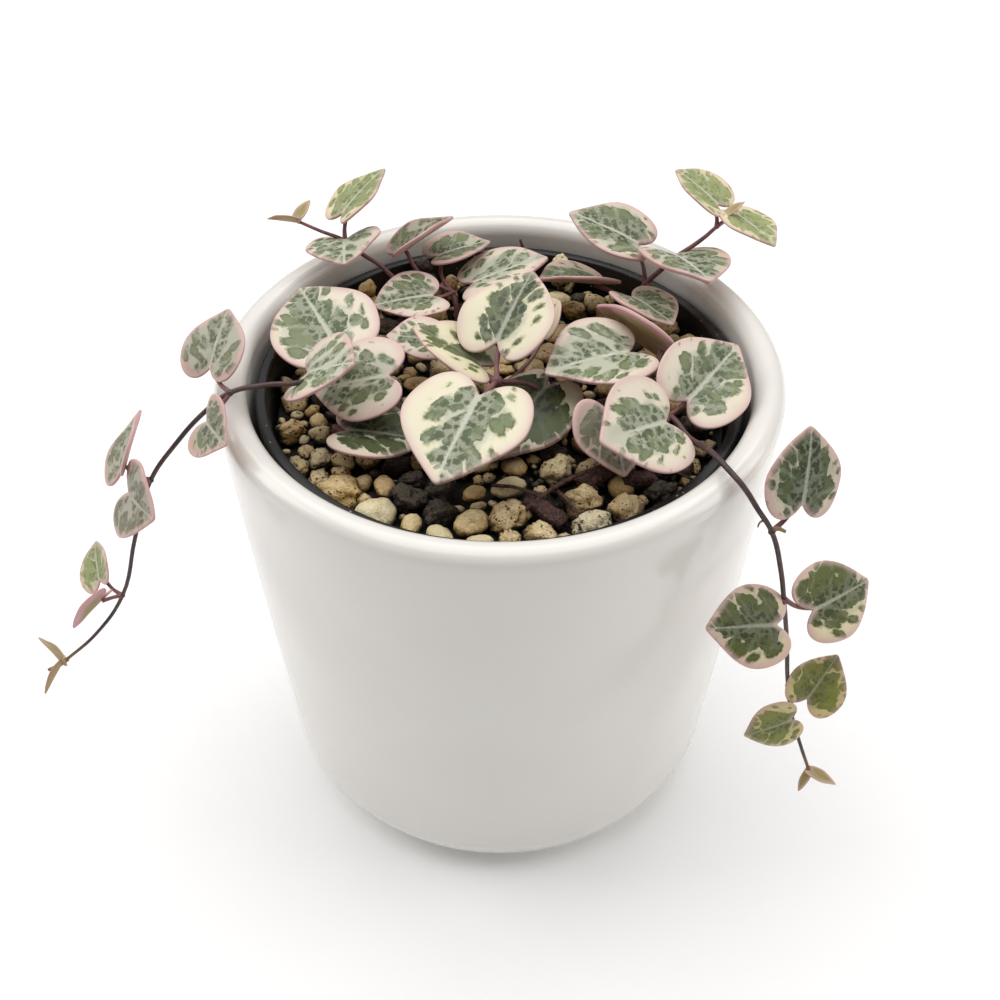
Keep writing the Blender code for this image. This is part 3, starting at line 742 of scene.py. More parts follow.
# %% The vines that hang over the rim
VINES = (
    Shoot(
        "vine_right",
        ((25, -13, 84.5), (25.3, -13.6, 86.8), (28, -18.9, 86.9), (30, -24.7, 89.5), (32.4, -29.4, 89.5),
         (34, -31.3, 88.5), (36, -33, 86), (38.5, -33.5, 82), (40.8, -34.2, 74.8),
         (42, -34.7, 69.3), (43.7, -35.4, 60.7), (45.4, -36.1, 50.5), (46.8, -37.3, 44.4),
         (48.7, -38.8, 39), (50.6, -40.3, 34.2)),
        (1.0, 0.5),
        (1, 7, 9, 11, 14),
        (
            Leaf(1, (28.2, -12.5, 89), (48, 15, 27), 13.6, 15.3, 14, 0.85, 0, 0.35, 0.5, 0.8, 0.35),
            Leaf(1, (24, -19.5, 90.5), (222, 18, -32), 14, 16, 8, 0.8, 0.05, 0.35, 0.5, 0.9, 0.35),
            Leaf(0, (16, -13.5, 88), (286, -28, -6), 11, 12.5, 0, 1.15, 0, 0.2, 1.0, 0.6, 0.75),
            Leaf(7, (42.6, -31.3, 85.3), (80, 66, 30), 11.5, 12.6, -4, 1.1, 0.05, 0.5, 0.7, 0.6, 0.85),
            Leaf(9, (46.6, -35, 67.1), (28, 6, 43), 11.2, 12.4, 1, 1.1, 0.1, 0.79, 0.65, 0.5, 0.95),
            Leaf(9, (40.5, -38.4, 67.6), (193, 11, -37), 11.2, 12.6, -5, 1.1, -0.05, 0.78, 0.75, 0.4, 1.0),
            Leaf(11, (48.4, -37.6, 49), (38, 50, 32), 8.7, 9.8, 20, 1.2, 0, 0.97, 0.3, 0.45, 0.8),
            Leaf(11, (46, -39.4, 46), (192, -19, -69), 7.9, 8.4, 0, 1.05, 0, 0.97, 0.4, 0.45, 0.75),
            Leaf(14, (51, -40.8, 34), (330, -5, 10), 4.5, 2.2, 10, 0.3, 0, 1.0, 0.7, 0, 0.5),
            Leaf(14, (50.8, -40.6, 33.6), (225, -50, 20), 4, 1.8, 10, 0.3, 0, 1.0, 0.9, 0, 0.5),
        ),
    ),
    Shoot(
        "vine_left",
        ((-20, -1, 84), (-20.8, -1.4, 86.5), (-24.5, -4, 88.6), (-27.5, -8, 90.2), (-30, -11, 91.2),
         (-35, -12.7, 92), (-39.8, -14.5, 92), (-43.6, -15.9, 89.6), (-48.5, -17.7, 84.8),
         (-53, -19.3, 79), (-57.3, -20.8, 68), (-61.3, -22.4, 56.5), (-67, -24.4, 49),
         (-72.4, -26.4, 44.8)),
        (1.0, 0.5),
        (1, 3, 6, 9, 11, 13),
        (
            Leaf(1, (-26.3, 3, 88), (119, 11, -10), 15.5, 18, 3, 0.9, 0.1, 0.2, 0.5, 0.75, 0.35),
            Leaf(1, (-17.1, -7.2, 89.4), (174, -15, -20), 13, 15.2, 4, 0.85, 0, 0.2, 0.55, 0.9, 0.35),
            Leaf(3, (-29.2, -7.8, 90.5), (322, 35, 21), 12, 13.7, 8, 1.0, 0, 0.2, 0.6, 1.0, 0.1),
            Leaf(6, (-43.4, -10, 93.1), (72, 38, -11), 9.8, 11.3, 6, 1.2, 0, 0.2, 0.95, 1.0, 0.4),
            Leaf(6, (-42.8, -18.6, 89.9), (298, 13, 51), 8.5, 10, 14, 0.9, 0, 0.3, 0.94, 0.85, 0.45),
            Leaf(9, (-57.2, -18.4, 80.4), (85, 23, -54), 10.6, 12, 14, 1.2, 0, 0.2, 0.97, 1.0, 0.4),
            Leaf(9, (-55.4, -22.6, 79.5), (302, 14, 58), 10.2, 12.2, 12, 1.2, 0, 0.2, 1.0, 0.95, 0.45),
            Leaf(11, (-65.4, -19.6, 57), (109, 24, -50), 7.4, 8.5, 16, 1.1, 0, 0.92, 0.6, 0.8, 0.3),
            Leaf(11, (-64.4, -22.6, 56.5), (207, -34, 62), 7.5, 4.5, 20, 0.4, 0, 0.3, 1.0, 0.5, 0.4),
            Leaf(13, (-73, -26.6, 45), (150, 52, 60), 5.5, 4.2, 20, 0.25, 0, 0.8, 0.6, 0, 0.3),
            Leaf(13, (-73, -26.8, 44.6), (225, -40, 50), 6, 3.8, 20, 0.2, 0, 0.7, 0.9, 0, 0.3),
        ),
    ),
    Shoot(
        "vine_back_left",
        ((-17, 24, 84), (-20.2, 26, 87.5), (-24.3, 27.2, 90), (-26.7, 27.7, 92), (-30.8, 27.6, 94),
         (-34.3, 27.9, 95.6)),
        (0.9, 0.5),
        (3, 5),
        (
            Leaf(3, (-26.9, 30.4, 95.8), (46, 29, -19), 11, 11.6, 9, 1.1, 0, 0.9, 0.4, 0.8, 0.3),
            Leaf(3, (-26.6, 27.2, 92.3), (275, 16, 11), 12, 13.5, 12, 1.15, 0, 0.3, 0.6, 1.0, 0.4),
            Leaf(5, (-34.8, 28, 95.8), (172, 4, 55), 5, 2.4, 10, 0.3, 0, 0.9, 0.7, 0, 0.4),
            Leaf(5, (-34.6, 28.3, 96), (50, 35, 0), 4, 2.6, 10, 0.3, 0, 1.0, 0.5, 0, 0.4),
        ),
    ),
    Shoot(
        "vine_back_right",
        ((23, 21.5, 84), (25, 22, 87), (27.3, 21.8, 89.8), (29.7, 22.4, 92), (32.8, 22.4, 94.6),
         (34.6, 23.2, 95.7), (36.3, 24.1, 96.9)),
        (1.0, 0.6),
        (0, 1, 6),
        (
            Leaf(1, (23.4, 25.2, 93), (161, 19, -2), 13, 15, 9, 1.15, 0, 0.3, 0.6, 0.85, 0.45),
            Leaf(1, (29.3, 21.1, 93.1), (287, 17, -9), 14.1, 15.6, 10, 1.15, 0, 0.5, 0.8, 0.9, 0.45),
            Leaf(6, (36.5, 27.3, 99.2), (146, 29, 3), 9.3, 10.6, 14, 1.1, 0, 0.97, 0.25, 0.8, 0.25),
            Leaf(6, (40, 27, 97.4), (309, -7, -13), 9.4, 10.8, 5, 1.05, 0, 0.97, 0.25, 0.8, 0.25),
            Leaf(6, (38, 25.4, 98.6), (28, 25, 0), 3.8, 1.8, 10, 0.2, 0, 1.0, 0.5, 0, 0.5),
            Leaf(0, (17, 24.2, 85.9), (200, 20, 18), 11.9, 13.8, 18, 0.85, 0, 0.3, 0.85, 0.8, 0.4),
            Leaf(0, (22.3, 17, 87.6), (305, 5, -14), 10.6, 12, 12, 0.95, 0, 0.3, 0.9, 0.85, 0.45),
        ),
    ),
)
print("vines:", len(VINES))

# %% The short shoots over the mix
SHOOTS = VINES + (
    Shoot(
        "shoot_front_left",
        ((-25.5, -11.5, 82.5), (-25.3, -12, 83.3)),
        (0.8, 0.7),
        (1,),
        (Leaf(1, (-23.3, -12.9, 83.4), (353, -2, -4), 12.8, 14.6, 8, 1.15, 0, 0.7, 0.3, 0.35, 0.95),),
    ),
    Shoot(
        "shoot_middle",
        ((0, -2, 83), (-0.3, -3.5, 85.5), (-0.5, -6.8, 88.2)),
        (1.0, 0.8),
        (0, 2),
        (
            Leaf(2, (-0.4, -1.8, 91.9), (63, 29, -8), 13.8, 16.3, 7, 0.66, 0, 0.73, 0.3, 0.55, 0.75),
            Leaf(2, (-3.1, -2.6, 88.1), (162, 28, 6), 12.3, 13, 10, 0.65, 0, 0.8, 0.25, 0.15, 0.6),
            Leaf(2, (-3.1, -14.4, 91), (249, -6, 0), 17.3, 19.7, 7, 0.72, 0.1, 0.65, 0.3, 0.85, 0.4),
            # This leaf lies in the shade of the large leaf above it: its deep, dull green is partly painted
            # shade
            Leaf(2, (7.4, -4.6, 85.1), (233, -11, 0), 16.5, 15, -8, 1.6, -0.15, 0.7, 0.3, 0.15, 1.0),
            Leaf(0, (-10, 6, 86.5), (186, 14, -8), 8.7, 10, 5, 0.8, 0, 0.3, 0.6, 0.6, 0.4),
            Leaf(0, (7, 8, 86), (85, 15, -50), 8.8, 9.6, 5, 0.7, 0, 0.85, 0.2, 0.2, 0.5),
        ),
    ),
    Shoot(
        "shoot_back_left",
        ((-7.5, 20, 83.5), (-8.2, 21.5, 85.5)),
        (0.9, 0.8),
        (1,),
        (
            Leaf(1, (-11.5, 18.3, 87), (202, 6, -7), 10.6, 12.2, 10, 0.95, 0, 0.2, 0.6, 0.85, 0.4),
            Leaf(1, (-16.9, 26, 91), (28, 26, -24), 10.9, 12.4, 19, 1.1, 0, 0.2, 0.95, 0.9, 0.4),
            Leaf(1, (-10.8, 27.8, 88.7), (22, 9, -6), 10, 11, 14, 1.05, 0, 0.2, 0.9, 0.9, 0.45),
        ),
    ),
    Shoot(
        "shoot_back",
        ((-1, 17, 83), (-2, 18.5, 85)),
        (0.9, 0.8),
        (1,),
        (Leaf(1, (-4.3, 21.7, 87.1), (11, 21, -6), 13.5, 15.4, 8, 0.75, 0.1, 0.15, 0.6, 1.0, 0.35),),
    ),
    Shoot(
        "shoot_right",
        ((22, -1, 83), (22.6, -0.6, 85)),
        (0.9, 0.8),
        (1,),
        (
            Leaf(1, (20, -1.7, 89.8), (204, 5, -2), 14.6, 17, 12, 1.0, 0, 0.2, 0.45, 1.0, 0.35),
            Leaf(1, (26.4, 1.9, 88), (135, 8, 57), 14.5, 15.5, 1, 0.85, 0, 0.3, 0.85, 0.6, 0.5),
        ),
    ),
)
print("stems:", len(SHOOTS), "leaves:", sum(len(shoot.leaves) for shoot in SHOOTS))

# %% [markdown]
# With the stems known, the stones can be poured.

# %% Pour the stones
rng = random.Random(STONE_SEED)
roots = [Vector(shoot.route[0][:2]) for shoot in SHOOTS]
bm = bmesh.new()
bm.verts.layers.float_vector.new("stone")
taken = []
for x, y, half, kind, shade, warmth in SET_STONES:
    taken.append((Vector((x, y)), half))
    add_stone(bm, rng, (x, y, STONE_LEVEL + 0.1 * half), half, kind, shade, warmth, 4)
thrown = thrown_stones(rng, taken, roots)
for place, half, kind, shade, warmth, finer in thrown:
    add_stone(bm, rng, place, half, kind, shade, warmth, finer)
for x, y, height, half, kind, shade, warmth in PILED_STONES:
    add_stone(bm, rng, (x, y, height), half, kind, shade, warmth, 3)
stones = made_object("pumice_dressing", bm, stone_look)
stands_for(stones, "potting_mix")
print("stones set:", len(SET_STONES), "thrown:", len(thrown), "piled:", len(PILED_STONES))

# %% [markdown]
# ## The leaf's finish
#
# The variegation is what makes this plant. Seen close, a leaf has islands of green between its veins. The
# islands crowd round the midrib and stop, ragged, before the rim. A silvery net lies over them. The outer
# band has no green at all: it is cream, with a hint of lime next to the green, and it blushes pink along
# the rim. The pink is strongest on the edge itself and on the underside.
#
# A painted picture could carry all that, but it would have to be drawn leaf by leaf. Here a Voronoi texture
# scatters points over the leaf, and a green disc grows round each. Its Position output tells where a disc's
# middle lies, so discs near the rim can be small or missing, while those inside merge. A second, finer set
# of discs leaves the silver net between them. The stored attributes say where on the leaf a point lies, so
# the pattern follows its shape. They also hold each leaf's own numbers: a young one is a fresh yellow
# green, and a few, most of them on the left vine, have a rosy cast.

# %% The leaf's colours
# Each green is a pair: open, and close to the midrib or to the green's edge
SAGE = rgb(140, 150, 110), rgb(88, 102, 66)
# The deep leaf green is partly painted shade, dark enough for a leaf that lies under another
LEAF_GREEN = rgb(72, 84, 40), rgb(30, 38, 18)
PALE_FRESH = rgb(170, 178, 124), rgb(132, 146, 90)
FRESH_GREEN = rgb(138, 140, 40), rgb(98, 100, 16)
SILVER, DULL_SILVER = rgb(198, 200, 180), rgb(128, 137, 106)
BRIGHT_SILVER = rgb(216, 217, 198)
PINK_IVORY, YELLOW_CREAM = rgb(226, 212, 198), rgb(232, 226, 196)
LIME, SOFT_LIME = rgb(208, 212, 156), rgb(186, 194, 140)
YOUNG_CREAM, YOUNG_VEIN = rgb(224, 206, 134), rgb(158, 160, 86)
BLUSH, TAN, ROSE_GREY = rgb(218, 184, 178), rgb(180, 150, 132), rgb(135, 110, 105)
EDGE_PINK = rgb(200, 152, 150)
UNDERSIDE, UNDERSIDE_GREEN = rgb(222, 172, 180), rgb(166, 154, 100)
SPROUT, SPROUT_GREEN = rgb(178, 150, 108), rgb(150, 146, 84)


print("greens, each in two tones:", len((SAGE, LEAF_GREEN, PALE_FRESH, FRESH_GREEN)))

# %% What the leaf's finish knows at a point
LEAF_ASPECT = 0.576  # half width over length
LOBE = 0.2  # how far the lobes reach behind the petiole, as a share of the length
SIDE_SLANT = 0.6  # how far a side vein runs towards the tip while it goes one unit across
SEED_SLANT = 0.7
MOTTLE, GRAIN = 26, 70  # noise waves along a leaf


def flat_vector(x, y):
    return blade.node("ShaderNodeCombineXYZ", {}, {"X": x, "Y": y})["Vector"]


blade = Finish("variegated_leaf")
flat, (along, across, seed) = blade.attribute("leaf_flat")
_, (rim, top, lean) = blade.attribute("leaf_edge")
_, (spread, silver, depth) = blade.attribute("leaf_green")
_, (warm, blush, sprout) = blade.attribute("leaf_tint")
# Every leaf looks at its own part of the noises
own = blade.moved(flat, flat_vector(seed, seed * SEED_SLANT))
side = abs(across)
haze = blade.cloud(own, 5)["Fac"]
patches = blade.cloud(own, 6.5)["Fac"]
mottle = blade.cloud(own, MOTTLE, 3.0, 0.65)["Fac"]
grain = blade.cloud(own, GRAIN, 2.0, 0.6)["Fac"]
grit = (mottle - 0.5) * 0.16
bend = (blade.cloud(own, 4)["Fac"] - 0.5) * 0.16
leaning = along - side * SIDE_SLANT + bend
young = blade.step(warm, 0.7, 1.0)
print("nodes so far:", len(blade.tree.nodes))

# %% Green lobes
ISLANDS = 5.2  # along a leaf
# How far the green reaches across, from the lobes to the tip
GREEN_REACH = ((0.0, 0.1), (0.12, 0.5), (0.26, 0.8), (0.5, 0.84), (0.7, 0.66), (0.88, 0.4), (0.99, 0.2))
LARGEST_DISC = 0.85
SILVERY_LESS = 0.36  # on silvery leaves the discs are smaller and stay apart


def green_room(along, across):
    """Above 0 inside the green area, which narrows towards both ends of the leaf."""
    share = (along + LOBE) * (1 / (1 + LOBE))
    reach = blade.node("ShaderNodeValToRGB", {"stops": GREEN_REACH}, {"Fac": share})["Color"]
    return reach * spread - abs(across * (1 / LEAF_ASPECT) - lean)


# Discs lie round the middles of cells that slant along the side veins. They shrink towards the rim,
# so they merge inside and stand alone outside, and their outlines add up to lobes
plane = flat_vector(leaning + seed, across + seed * SEED_SLANT)
plane = blade.warped(blade.warped(plane, 8, 0.08), 22, 0.045)
discs = blade.cells(plane, ISLANDS, "2D")
chance, _, _ = blade.split(discs["Color"])
disc_leaning, disc_across, _ = blade.split(discs["Position"])
disc_across = disc_across - seed * SEED_SLANT
disc_along = disc_leaning - seed + abs(disc_across) * SIDE_SLANT
disc = green_room(disc_along, disc_across) * 1.5 + chance * 0.3 + 0.12
largest = LARGEST_DISC - blade.step(silver, 0.8, 1.0) * SILVERY_LESS
room = disc.maths("MINIMUM", largest) - discs["Distance"] + (haze - 0.5) * 0.4 + grit * 1.3
green = blade.step(room, -0.13, 0.11)
print("nodes so far:", len(blade.tree.nodes))

# %% The silver net
DOTS = 12  # along a leaf
LATERAL_STEP = 0.3  # from one side vein to the next, as a share of the length

# A grainy ground shows between dark dots, and only near the midrib
crooked = blade.warped(blade.warped(own, 9, 0.09), MOTTLE, 0.03)
dots = blade.cells(crooked, DOTS, "2D")
dot_size = blade.split(dots["Color"])[0] * 0.34 + 0.26
between = blade.step(dots["Distance"] + grit * 2.4 - dot_size, -0.1, 0.14)
base_ward = 1 - blade.step(along, 0.0, 0.8)
inner = 1 - blade.step(side + (patches - 0.5) * 0.9 - base_ward * 0.06, 0.04, 0.34)
midrib = 1 - blade.step(side - base_ward * 0.014 + grit * 0.3, 0.0, 0.026)
lateral = (leaning + 0.06).maths("PINGPONG", LATERAL_STEP / 2)
side_vein = 1 - blade.step(lateral * 1.2 + grit + (patches - 0.5) * 0.2, 0.0, 0.06)
veins = midrib.maths("MAXIMUM", side_vein * 0.75).maths("MAXIMUM", between * inner * 0.9)
veins = veins * (blade.step(grain, 0.3, 0.65) * 0.5 + 0.5)
print("nodes so far:", len(blade.tree.nodes))

# %% The green body and its silver
close = (inner * 0.9).maths("MAXIMUM", 1 - blade.step(room, 0.02, 0.22)) * (mottle * 1.2 + 0.4)
tones = (SAGE, LEAF_GREEN, PALE_FRESH, FRESH_GREEN)
sage, leafy, pale_fresh, fresh = [blade.blend(close, *pair) for pair in tones]
body = blade.blend(depth, sage, leafy)
body = blade.blend(young * 0.85, body, blade.blend(depth, pale_fresh, fresh))
grey = blade.blend(depth * 0.7, SILVER, DULL_SILVER)
grey = blade.blend(young * 0.6, grey, blade.blend(depth, SOFT_LIME, YOUNG_VEIN))
body = blade.blend(veins * (silver * 0.9 + 0.1), body, grey)
body = blade.blend(midrib * silver * 0.7, body, BRIGHT_SILVER)
print("nodes so far:", len(blade.tree.nodes))

# %% The cream band, with lime next to the green, a blush, and grey where the leaf is silvery
soft = (haze - 0.5) * 1.4
cream = blade.blend(warm, PINK_IVORY, YELLOW_CREAM)
lime = blade.step(room + grit, -0.3, 0.0)
cream = blade.blend(lime * (warm * 0.4 + 0.3), cream, LIME)
flush = 1 - blade.step(rim + soft, -0.2, 1.9)
cream = blade.blend(flush * (blush * 0.8 + 0.2), cream, BLUSH)
# Partly painted shade: rosy leaves take a darker tan, partly their own brownish pink and partly the shade
# that lies on some of them
cream = blade.blend(blade.step(blush, 0.5, 1.0) * 0.7, cream, TAN)
cream = blade.blend(young * depth, cream, YOUNG_CREAM)
here = green_room(along, across)
ground = blade.step(here + (haze - 0.5) * 0.5 + grit, 0.04, 0.26) * silver
cream = blade.blend(ground * 0.9, cream, grey)
print("nodes so far:", len(blade.tree.nodes))

# %% All layers, with the pink of the rim and the underside
colour = blade.blend(green, cream, body)
colour = blade.blend(sprout, colour, blade.blend(mottle, SPROUT, SPROUT_GREEN))
colour = blade.blend(blade.step(blush, 0.9, 1.0) * 0.32, colour, ROSE_GREY)
margin = 1 - blade.step(rim + soft * 0.4, 0.0, 1.1)
colour = blade.blend(margin * (blush * 0.5 + 0.3), colour, BLUSH)
edge = (1 - blade.step(rim, 0.05, 0.3)) * (1 - blade.step(top, 0.5, 0.9))
colour = blade.blend(edge * (blush * 0.6 + 0.25), colour, EDGE_PINK)
below = blade.blend(blade.step(rim, 0.3, 2.2), UNDERSIDE, UNDERSIDE_GREEN)
below = blade.blend(mottle * 0.3, below, UNDERSIDE)
below = blade.blend(sprout, below, SPROUT)
colour = blade.blend(1 - blade.step(top, 0.2, 0.45), colour, below)
height = (1 - veins) * green * 0.5 + haze * 0.4
leaf_look = blade.set(
    Base_Color=colour, Roughness=0.42 + haze * 0.2, Normal=blade.relief(height, 0.09, 0.7),
    Subsurface_Weight=0.06, Subsurface_Radius=(0.0012, 0.0006, 0.0003), Subsurface_Scale=1.0,
)
print("made", leaf_look.name, "with", len(blade.tree.nodes), "nodes")

# %% [markdown]
# ## One flat leaf
#
# All leaves share one heart, drawn flat, one unit long. Half its outline is three Bezier pieces: the notch,
# the lobe and the side. A circle becomes the heart: its face is inset into rings, and each corner moves to
# its own place between the middle of the blade and the outline. Solidify gives the blade its thickness and
# a bevel rounds the edge, as a succulent leaf has no sharp rim.

# %% The heart's outline
RIM_SPLIT = (5, 7, 10)  # edges in the notch, the lobe and the side of each half
BLADE_MIDDLE = Vector((0.38, 0, 0))


def heart_outline():
    """The edge of the heart from the tip round the left half, the notch and the right half."""
    pieces = (
        ((0, 0), (-0.07, 0.06), (-LOBE, 0.22), (-LOBE, 0.45)),
        ((-LOBE, 0.45), (-LOBE, 0.78), (0.05, 1.0), (0.30, 1.0)),
        ((0.30, 1.0), (0.60, 1.0), (0.84, 0.34), (1.0, 0.0)),
    )
    half = [Vector((0, 0, 0))]
    for piece, split in zip(pieces, RIM_SPLIT):
        corners = [Vector((x, y * LEAF_ASPECT, 0)) for x, y in piece]
        half += interpolate_bezier(*corners, split + 1)[1:]
    mirrored = [Vector((point.x, -point.y, 0)) for point in half[1:-1]]
    return list(reversed(half)) + mirrored


outline = heart_outline()
print("corners in the outline:", len(outline))

# %% How far from the rim
def along_line(point, start, end):
    """Where on a straight line the nearest place to a point is, from 0 to 1, and how far off it is."""
    line = end - start
    share = max(0.0, min(1.0, (point - start).dot(line) / line.length_squared))
    return share, (start + line * share - point).length


def rim_distance(point):
    """How far a point of the flat leaf is from the outline."""
    lines = zip(outline, outline[1:] + outline[:1])
    return min(along_line(point, start, end)[1] for start, end in lines)


print("from the blade's middle to the rim:", round(rim_distance(BLADE_MIDDLE), 3))

# %% The flat leaf
LEAF_RINGS = (0.1, 0.1, 0.16, 0.17, 0.17, 0.15)  # widths of the rings, from the rim inwards
LEAF_DEPTH = 0.066  # thickness over length
EDGE_ROUND = 0.46  # bevel at the rim, as a share of the thickness
EDGE_STEPS = 3
UPRIGHT = 0.5  # a face of the rim has a normal that rises less than this
LEVEL = 1e-4  # an edge that rises less than this runs along the rim


def flat_leaf():
    bm = bmesh.new()
    bmesh.ops.create_circle(bm, cap_ends=True, segments=len(outline), radius=1.0)
    middle = list(bm.faces)
    for width in LEAF_RINGS:
        bmesh.ops.inset_region(
            bm, faces=middle, thickness=width, use_boundary=True, use_even_offset=True
        )
    bmesh.ops.poke(bm, faces=middle)
    for corner in bm.verts:
        share = corner.co.length
        turn = math.atan2(-corner.co.x, corner.co.y)  # the circle's first corner is at +Y
        index = round(turn * len(outline) / (2 * math.pi)) % len(outline)
        corner.co = BLADE_MIDDLE.lerp(outline[index], min(share, 1.0))
    bmesh.ops.recalc_face_normals(bm, faces=bm.faces)
    if next(iter(bm.faces)).normal.z < 0:
        bmesh.ops.reverse_faces(bm, faces=bm.faces)
    bmesh.ops.solidify(bm, geom=bm.faces, thickness=LEAF_DEPTH)
    bmesh.ops.recalc_face_normals(bm, faces=bm.faces)
    middle_height = sum(corner.co.z for corner in bm.verts) / len(bm.verts)
    bmesh.ops.translate(bm, verts=bm.verts, vec=(0, 0, -middle_height))
    rims = [
        line for line in bm.edges
        if abs(line.verts[0].co.z - line.verts[1].co.z) < LEVEL
        and any(abs(face.normal.z) < UPRIGHT for face in line.link_faces)
    ]
    bmesh.ops.bevel(
        bm, geom=rims, offset=LEAF_DEPTH * EDGE_ROUND, offset_type="OFFSET",
        segments=EDGE_STEPS, profile=0.5, affect="EDGES", material=-1, clamp_overlap=True,
    )
    return bm


pattern = flat_leaf()
flat_places = [corner.co.copy() for corner in pattern.verts]
rim_distances = [rim_distance(Vector((place.x, place.y, 0))) for place in flat_places]
print("faces in a flat leaf:", len(pattern.faces), "thickness", LEAF_DEPTH)

# %% [markdown]
# A real blade isn't flat. It is folded a little along the midrib, curls down to the tip, is fullest between
# the midrib and the rim, and no two have quite the same edge. The same fold and curl shape the CAD leaves;
# the fullness, a groove over the midrib and a slow wave of the edge are added here.

# %% Bend a leaf
LEAF_CURL = math.radians(8)
CREASE = 0.12  # how soft the fold is, as a share of the half width
RIM_THIN = 0.55  # thickness at the rim, over the flat leaf's
FULLNESS = 0.6  # what it gains further in
GROOVE, GROOVE_WIDTH = 0.3, 0.035
WAVES = ((3, 1, 0.011), (5, 2, 0.0066))  # waves round the rim, their turn with the seed, their height
# Distances from the rim, over the length, from which the blade is full, grooved and free of waves
FULL_FROM, GROOVE_FROM, WAVE_REACH = 0.16, 0.1, 0.3


def bent(place, rim, leaf, seed):
    """Where a corner of the flat leaf lies on the real one."""
    along = place.x * leaf.length
    half = leaf.width / 2
    side = place.y / LEAF_ASPECT * half
    fullness = RIM_THIN + FULLNESS * math.sqrt(min(1.0, rim / FULL_FROM))
    groove = math.exp(-((place.y / GROOVE_WIDTH) ** 2)) * min(1.0, rim / GROOVE_FROM) * GROOVE
    height = place.z * fullness - (groove * LEAF_DEPTH / 2 if place.z > 0 else 0)
    turn = math.atan2(place.y, place.x - BLADE_MIDDLE.x)
    reach = 1 - min(1.0, rim / WAVE_REACH)
    for count, shift, high in WAVES:
        height += high * reach * math.sin(count * turn + shift * seed)
    fold = math.radians(leaf.fold)
    soft = CREASE * half
    rise = (math.hypot(side, soft) - soft) * math.sin(fold) + height * leaf.length
    curl = LEAF_CURL / leaf.length
    angle = along * curl
    return Vector((
        math.sin(angle) / curl + rise * math.sin(angle),
        side * math.cos(fold),
        -(1 - math.cos(angle)) / curl + rise * math.cos(angle),
    )) * MM


first_leaf = SHOOTS[0].leaves[0]
print("the first leaf's tip, in metres from its notch:", bent(Vector((1, 0, 0)), 0, first_leaf, 1))

# %% Put a leaf on its petiole
SPROUT_LENGTH = 6.5  # a leaf shorter than this is still a sprout
SEED_STEP = 3.7  # how far apart two leaves lie on the noises
LEAF_LAYERS = ("leaf_flat", "leaf_edge", "leaf_green", "leaf_tint")


def leaf_frame(leaf):
    """Axes of a leaf: +X from its notch to its tip, +Y across, +Z out of its upper face."""
    heading, pitch, roll = (math.radians(angle) for angle in leaf.turn)
    turn = Matrix.Rotation(heading, 4, "Z") @ Matrix.Rotation(-pitch, 4, "Y")
    return Matrix.Translation(Vector(leaf.base) * MM) @ turn @ Matrix.Rotation(roll, 4, "X")


def add_leaf(bm, layers, leaf, seed):
    """A copy of the flat leaf, bent and placed, with its colours stored on its corners."""
    frame_of_leaf = leaf_frame(leaf)
    for corner, place, rim in zip(poured(bm, copied(pattern)), flat_places, rim_distances):
        corner.co = frame_of_leaf @ bent(place, rim, leaf, seed)
        top = place.z / LEAF_DEPTH + 0.5
        corner[layers["leaf_flat"]] = Vector((place.x, place.y, seed * SEED_STEP))
        corner[layers["leaf_edge"]] = Vector((rim * leaf.length, top, leaf.lean))
        corner[layers["leaf_green"]] = Vector((leaf.spread, leaf.silver, leaf.depth))
        corner[layers["leaf_tint"]] = Vector((leaf.warm, leaf.blush, leaf.length < SPROUT_LENGTH))


print("layers stored on a leaf:", len(LEAF_LAYERS))

# %% [markdown]
# ## Stems and petioles
#
# A stem is a round bar that tapers from root to tip and is thicker where leaves grow. A bevelled curve
# makes that quickly: each point has its own radius. The curve is turned into a mesh, so that stem,
# petioles and nodes become one piece.

# %% Maroon skin of the stems
finish = Finish("maroon_stem")
place = finish.place()
patch = finish.step(finish.cloud(place, 0.22, 3.0)["Fac"], 0.35, 0.7)
grain = finish.cloud(place, 2.4, 4.0, 0.6)["Fac"]
_, (age, _, _) = finish.attribute("stem")
young = finish.blend(patch, rgb(138, 92, 92), rgb(100, 62, 66))
old = finish.blend(patch, rgb(84, 62, 60), rgb(56, 42, 42))
colour = finish.blend(finish.step(age, 0.0, 1.0), young, old)
colour = finish.blend(finish.step(age, 1.2, 2.0), colour, rgb(140, 116, 78))
colour = finish.blend(finish.step(grain, 0.55, 0.8) * 0.35, colour, rgb(186, 160, 150))
stem_look = finish.set(
    Base_Color=colour, Roughness=grain * 0.25 + 0.32, Normal=finish.relief(grain, 0.12, 0.6)
)
print("made", stem_look.name)

# %% A tapering bar along a route
STEM_STEPS = 6  # straight pieces between two points of a route
STEM_ROUND = 2  # more of these make a rounder bar
YOUNG, OLD, TIP = 0.0, 1.0, 2.0


def age_at(spot, points, ages):
    """The age of a stem at the point of its route that is nearest to a spot."""
    found = []
    for index in range(len(points) - 1):
        share, far = along_line(spot, Vector(points[index]), Vector(points[index + 1]))
        found.append((far, ages[index] + (ages[index + 1] - ages[index]) * share))
    return min(found)[1]


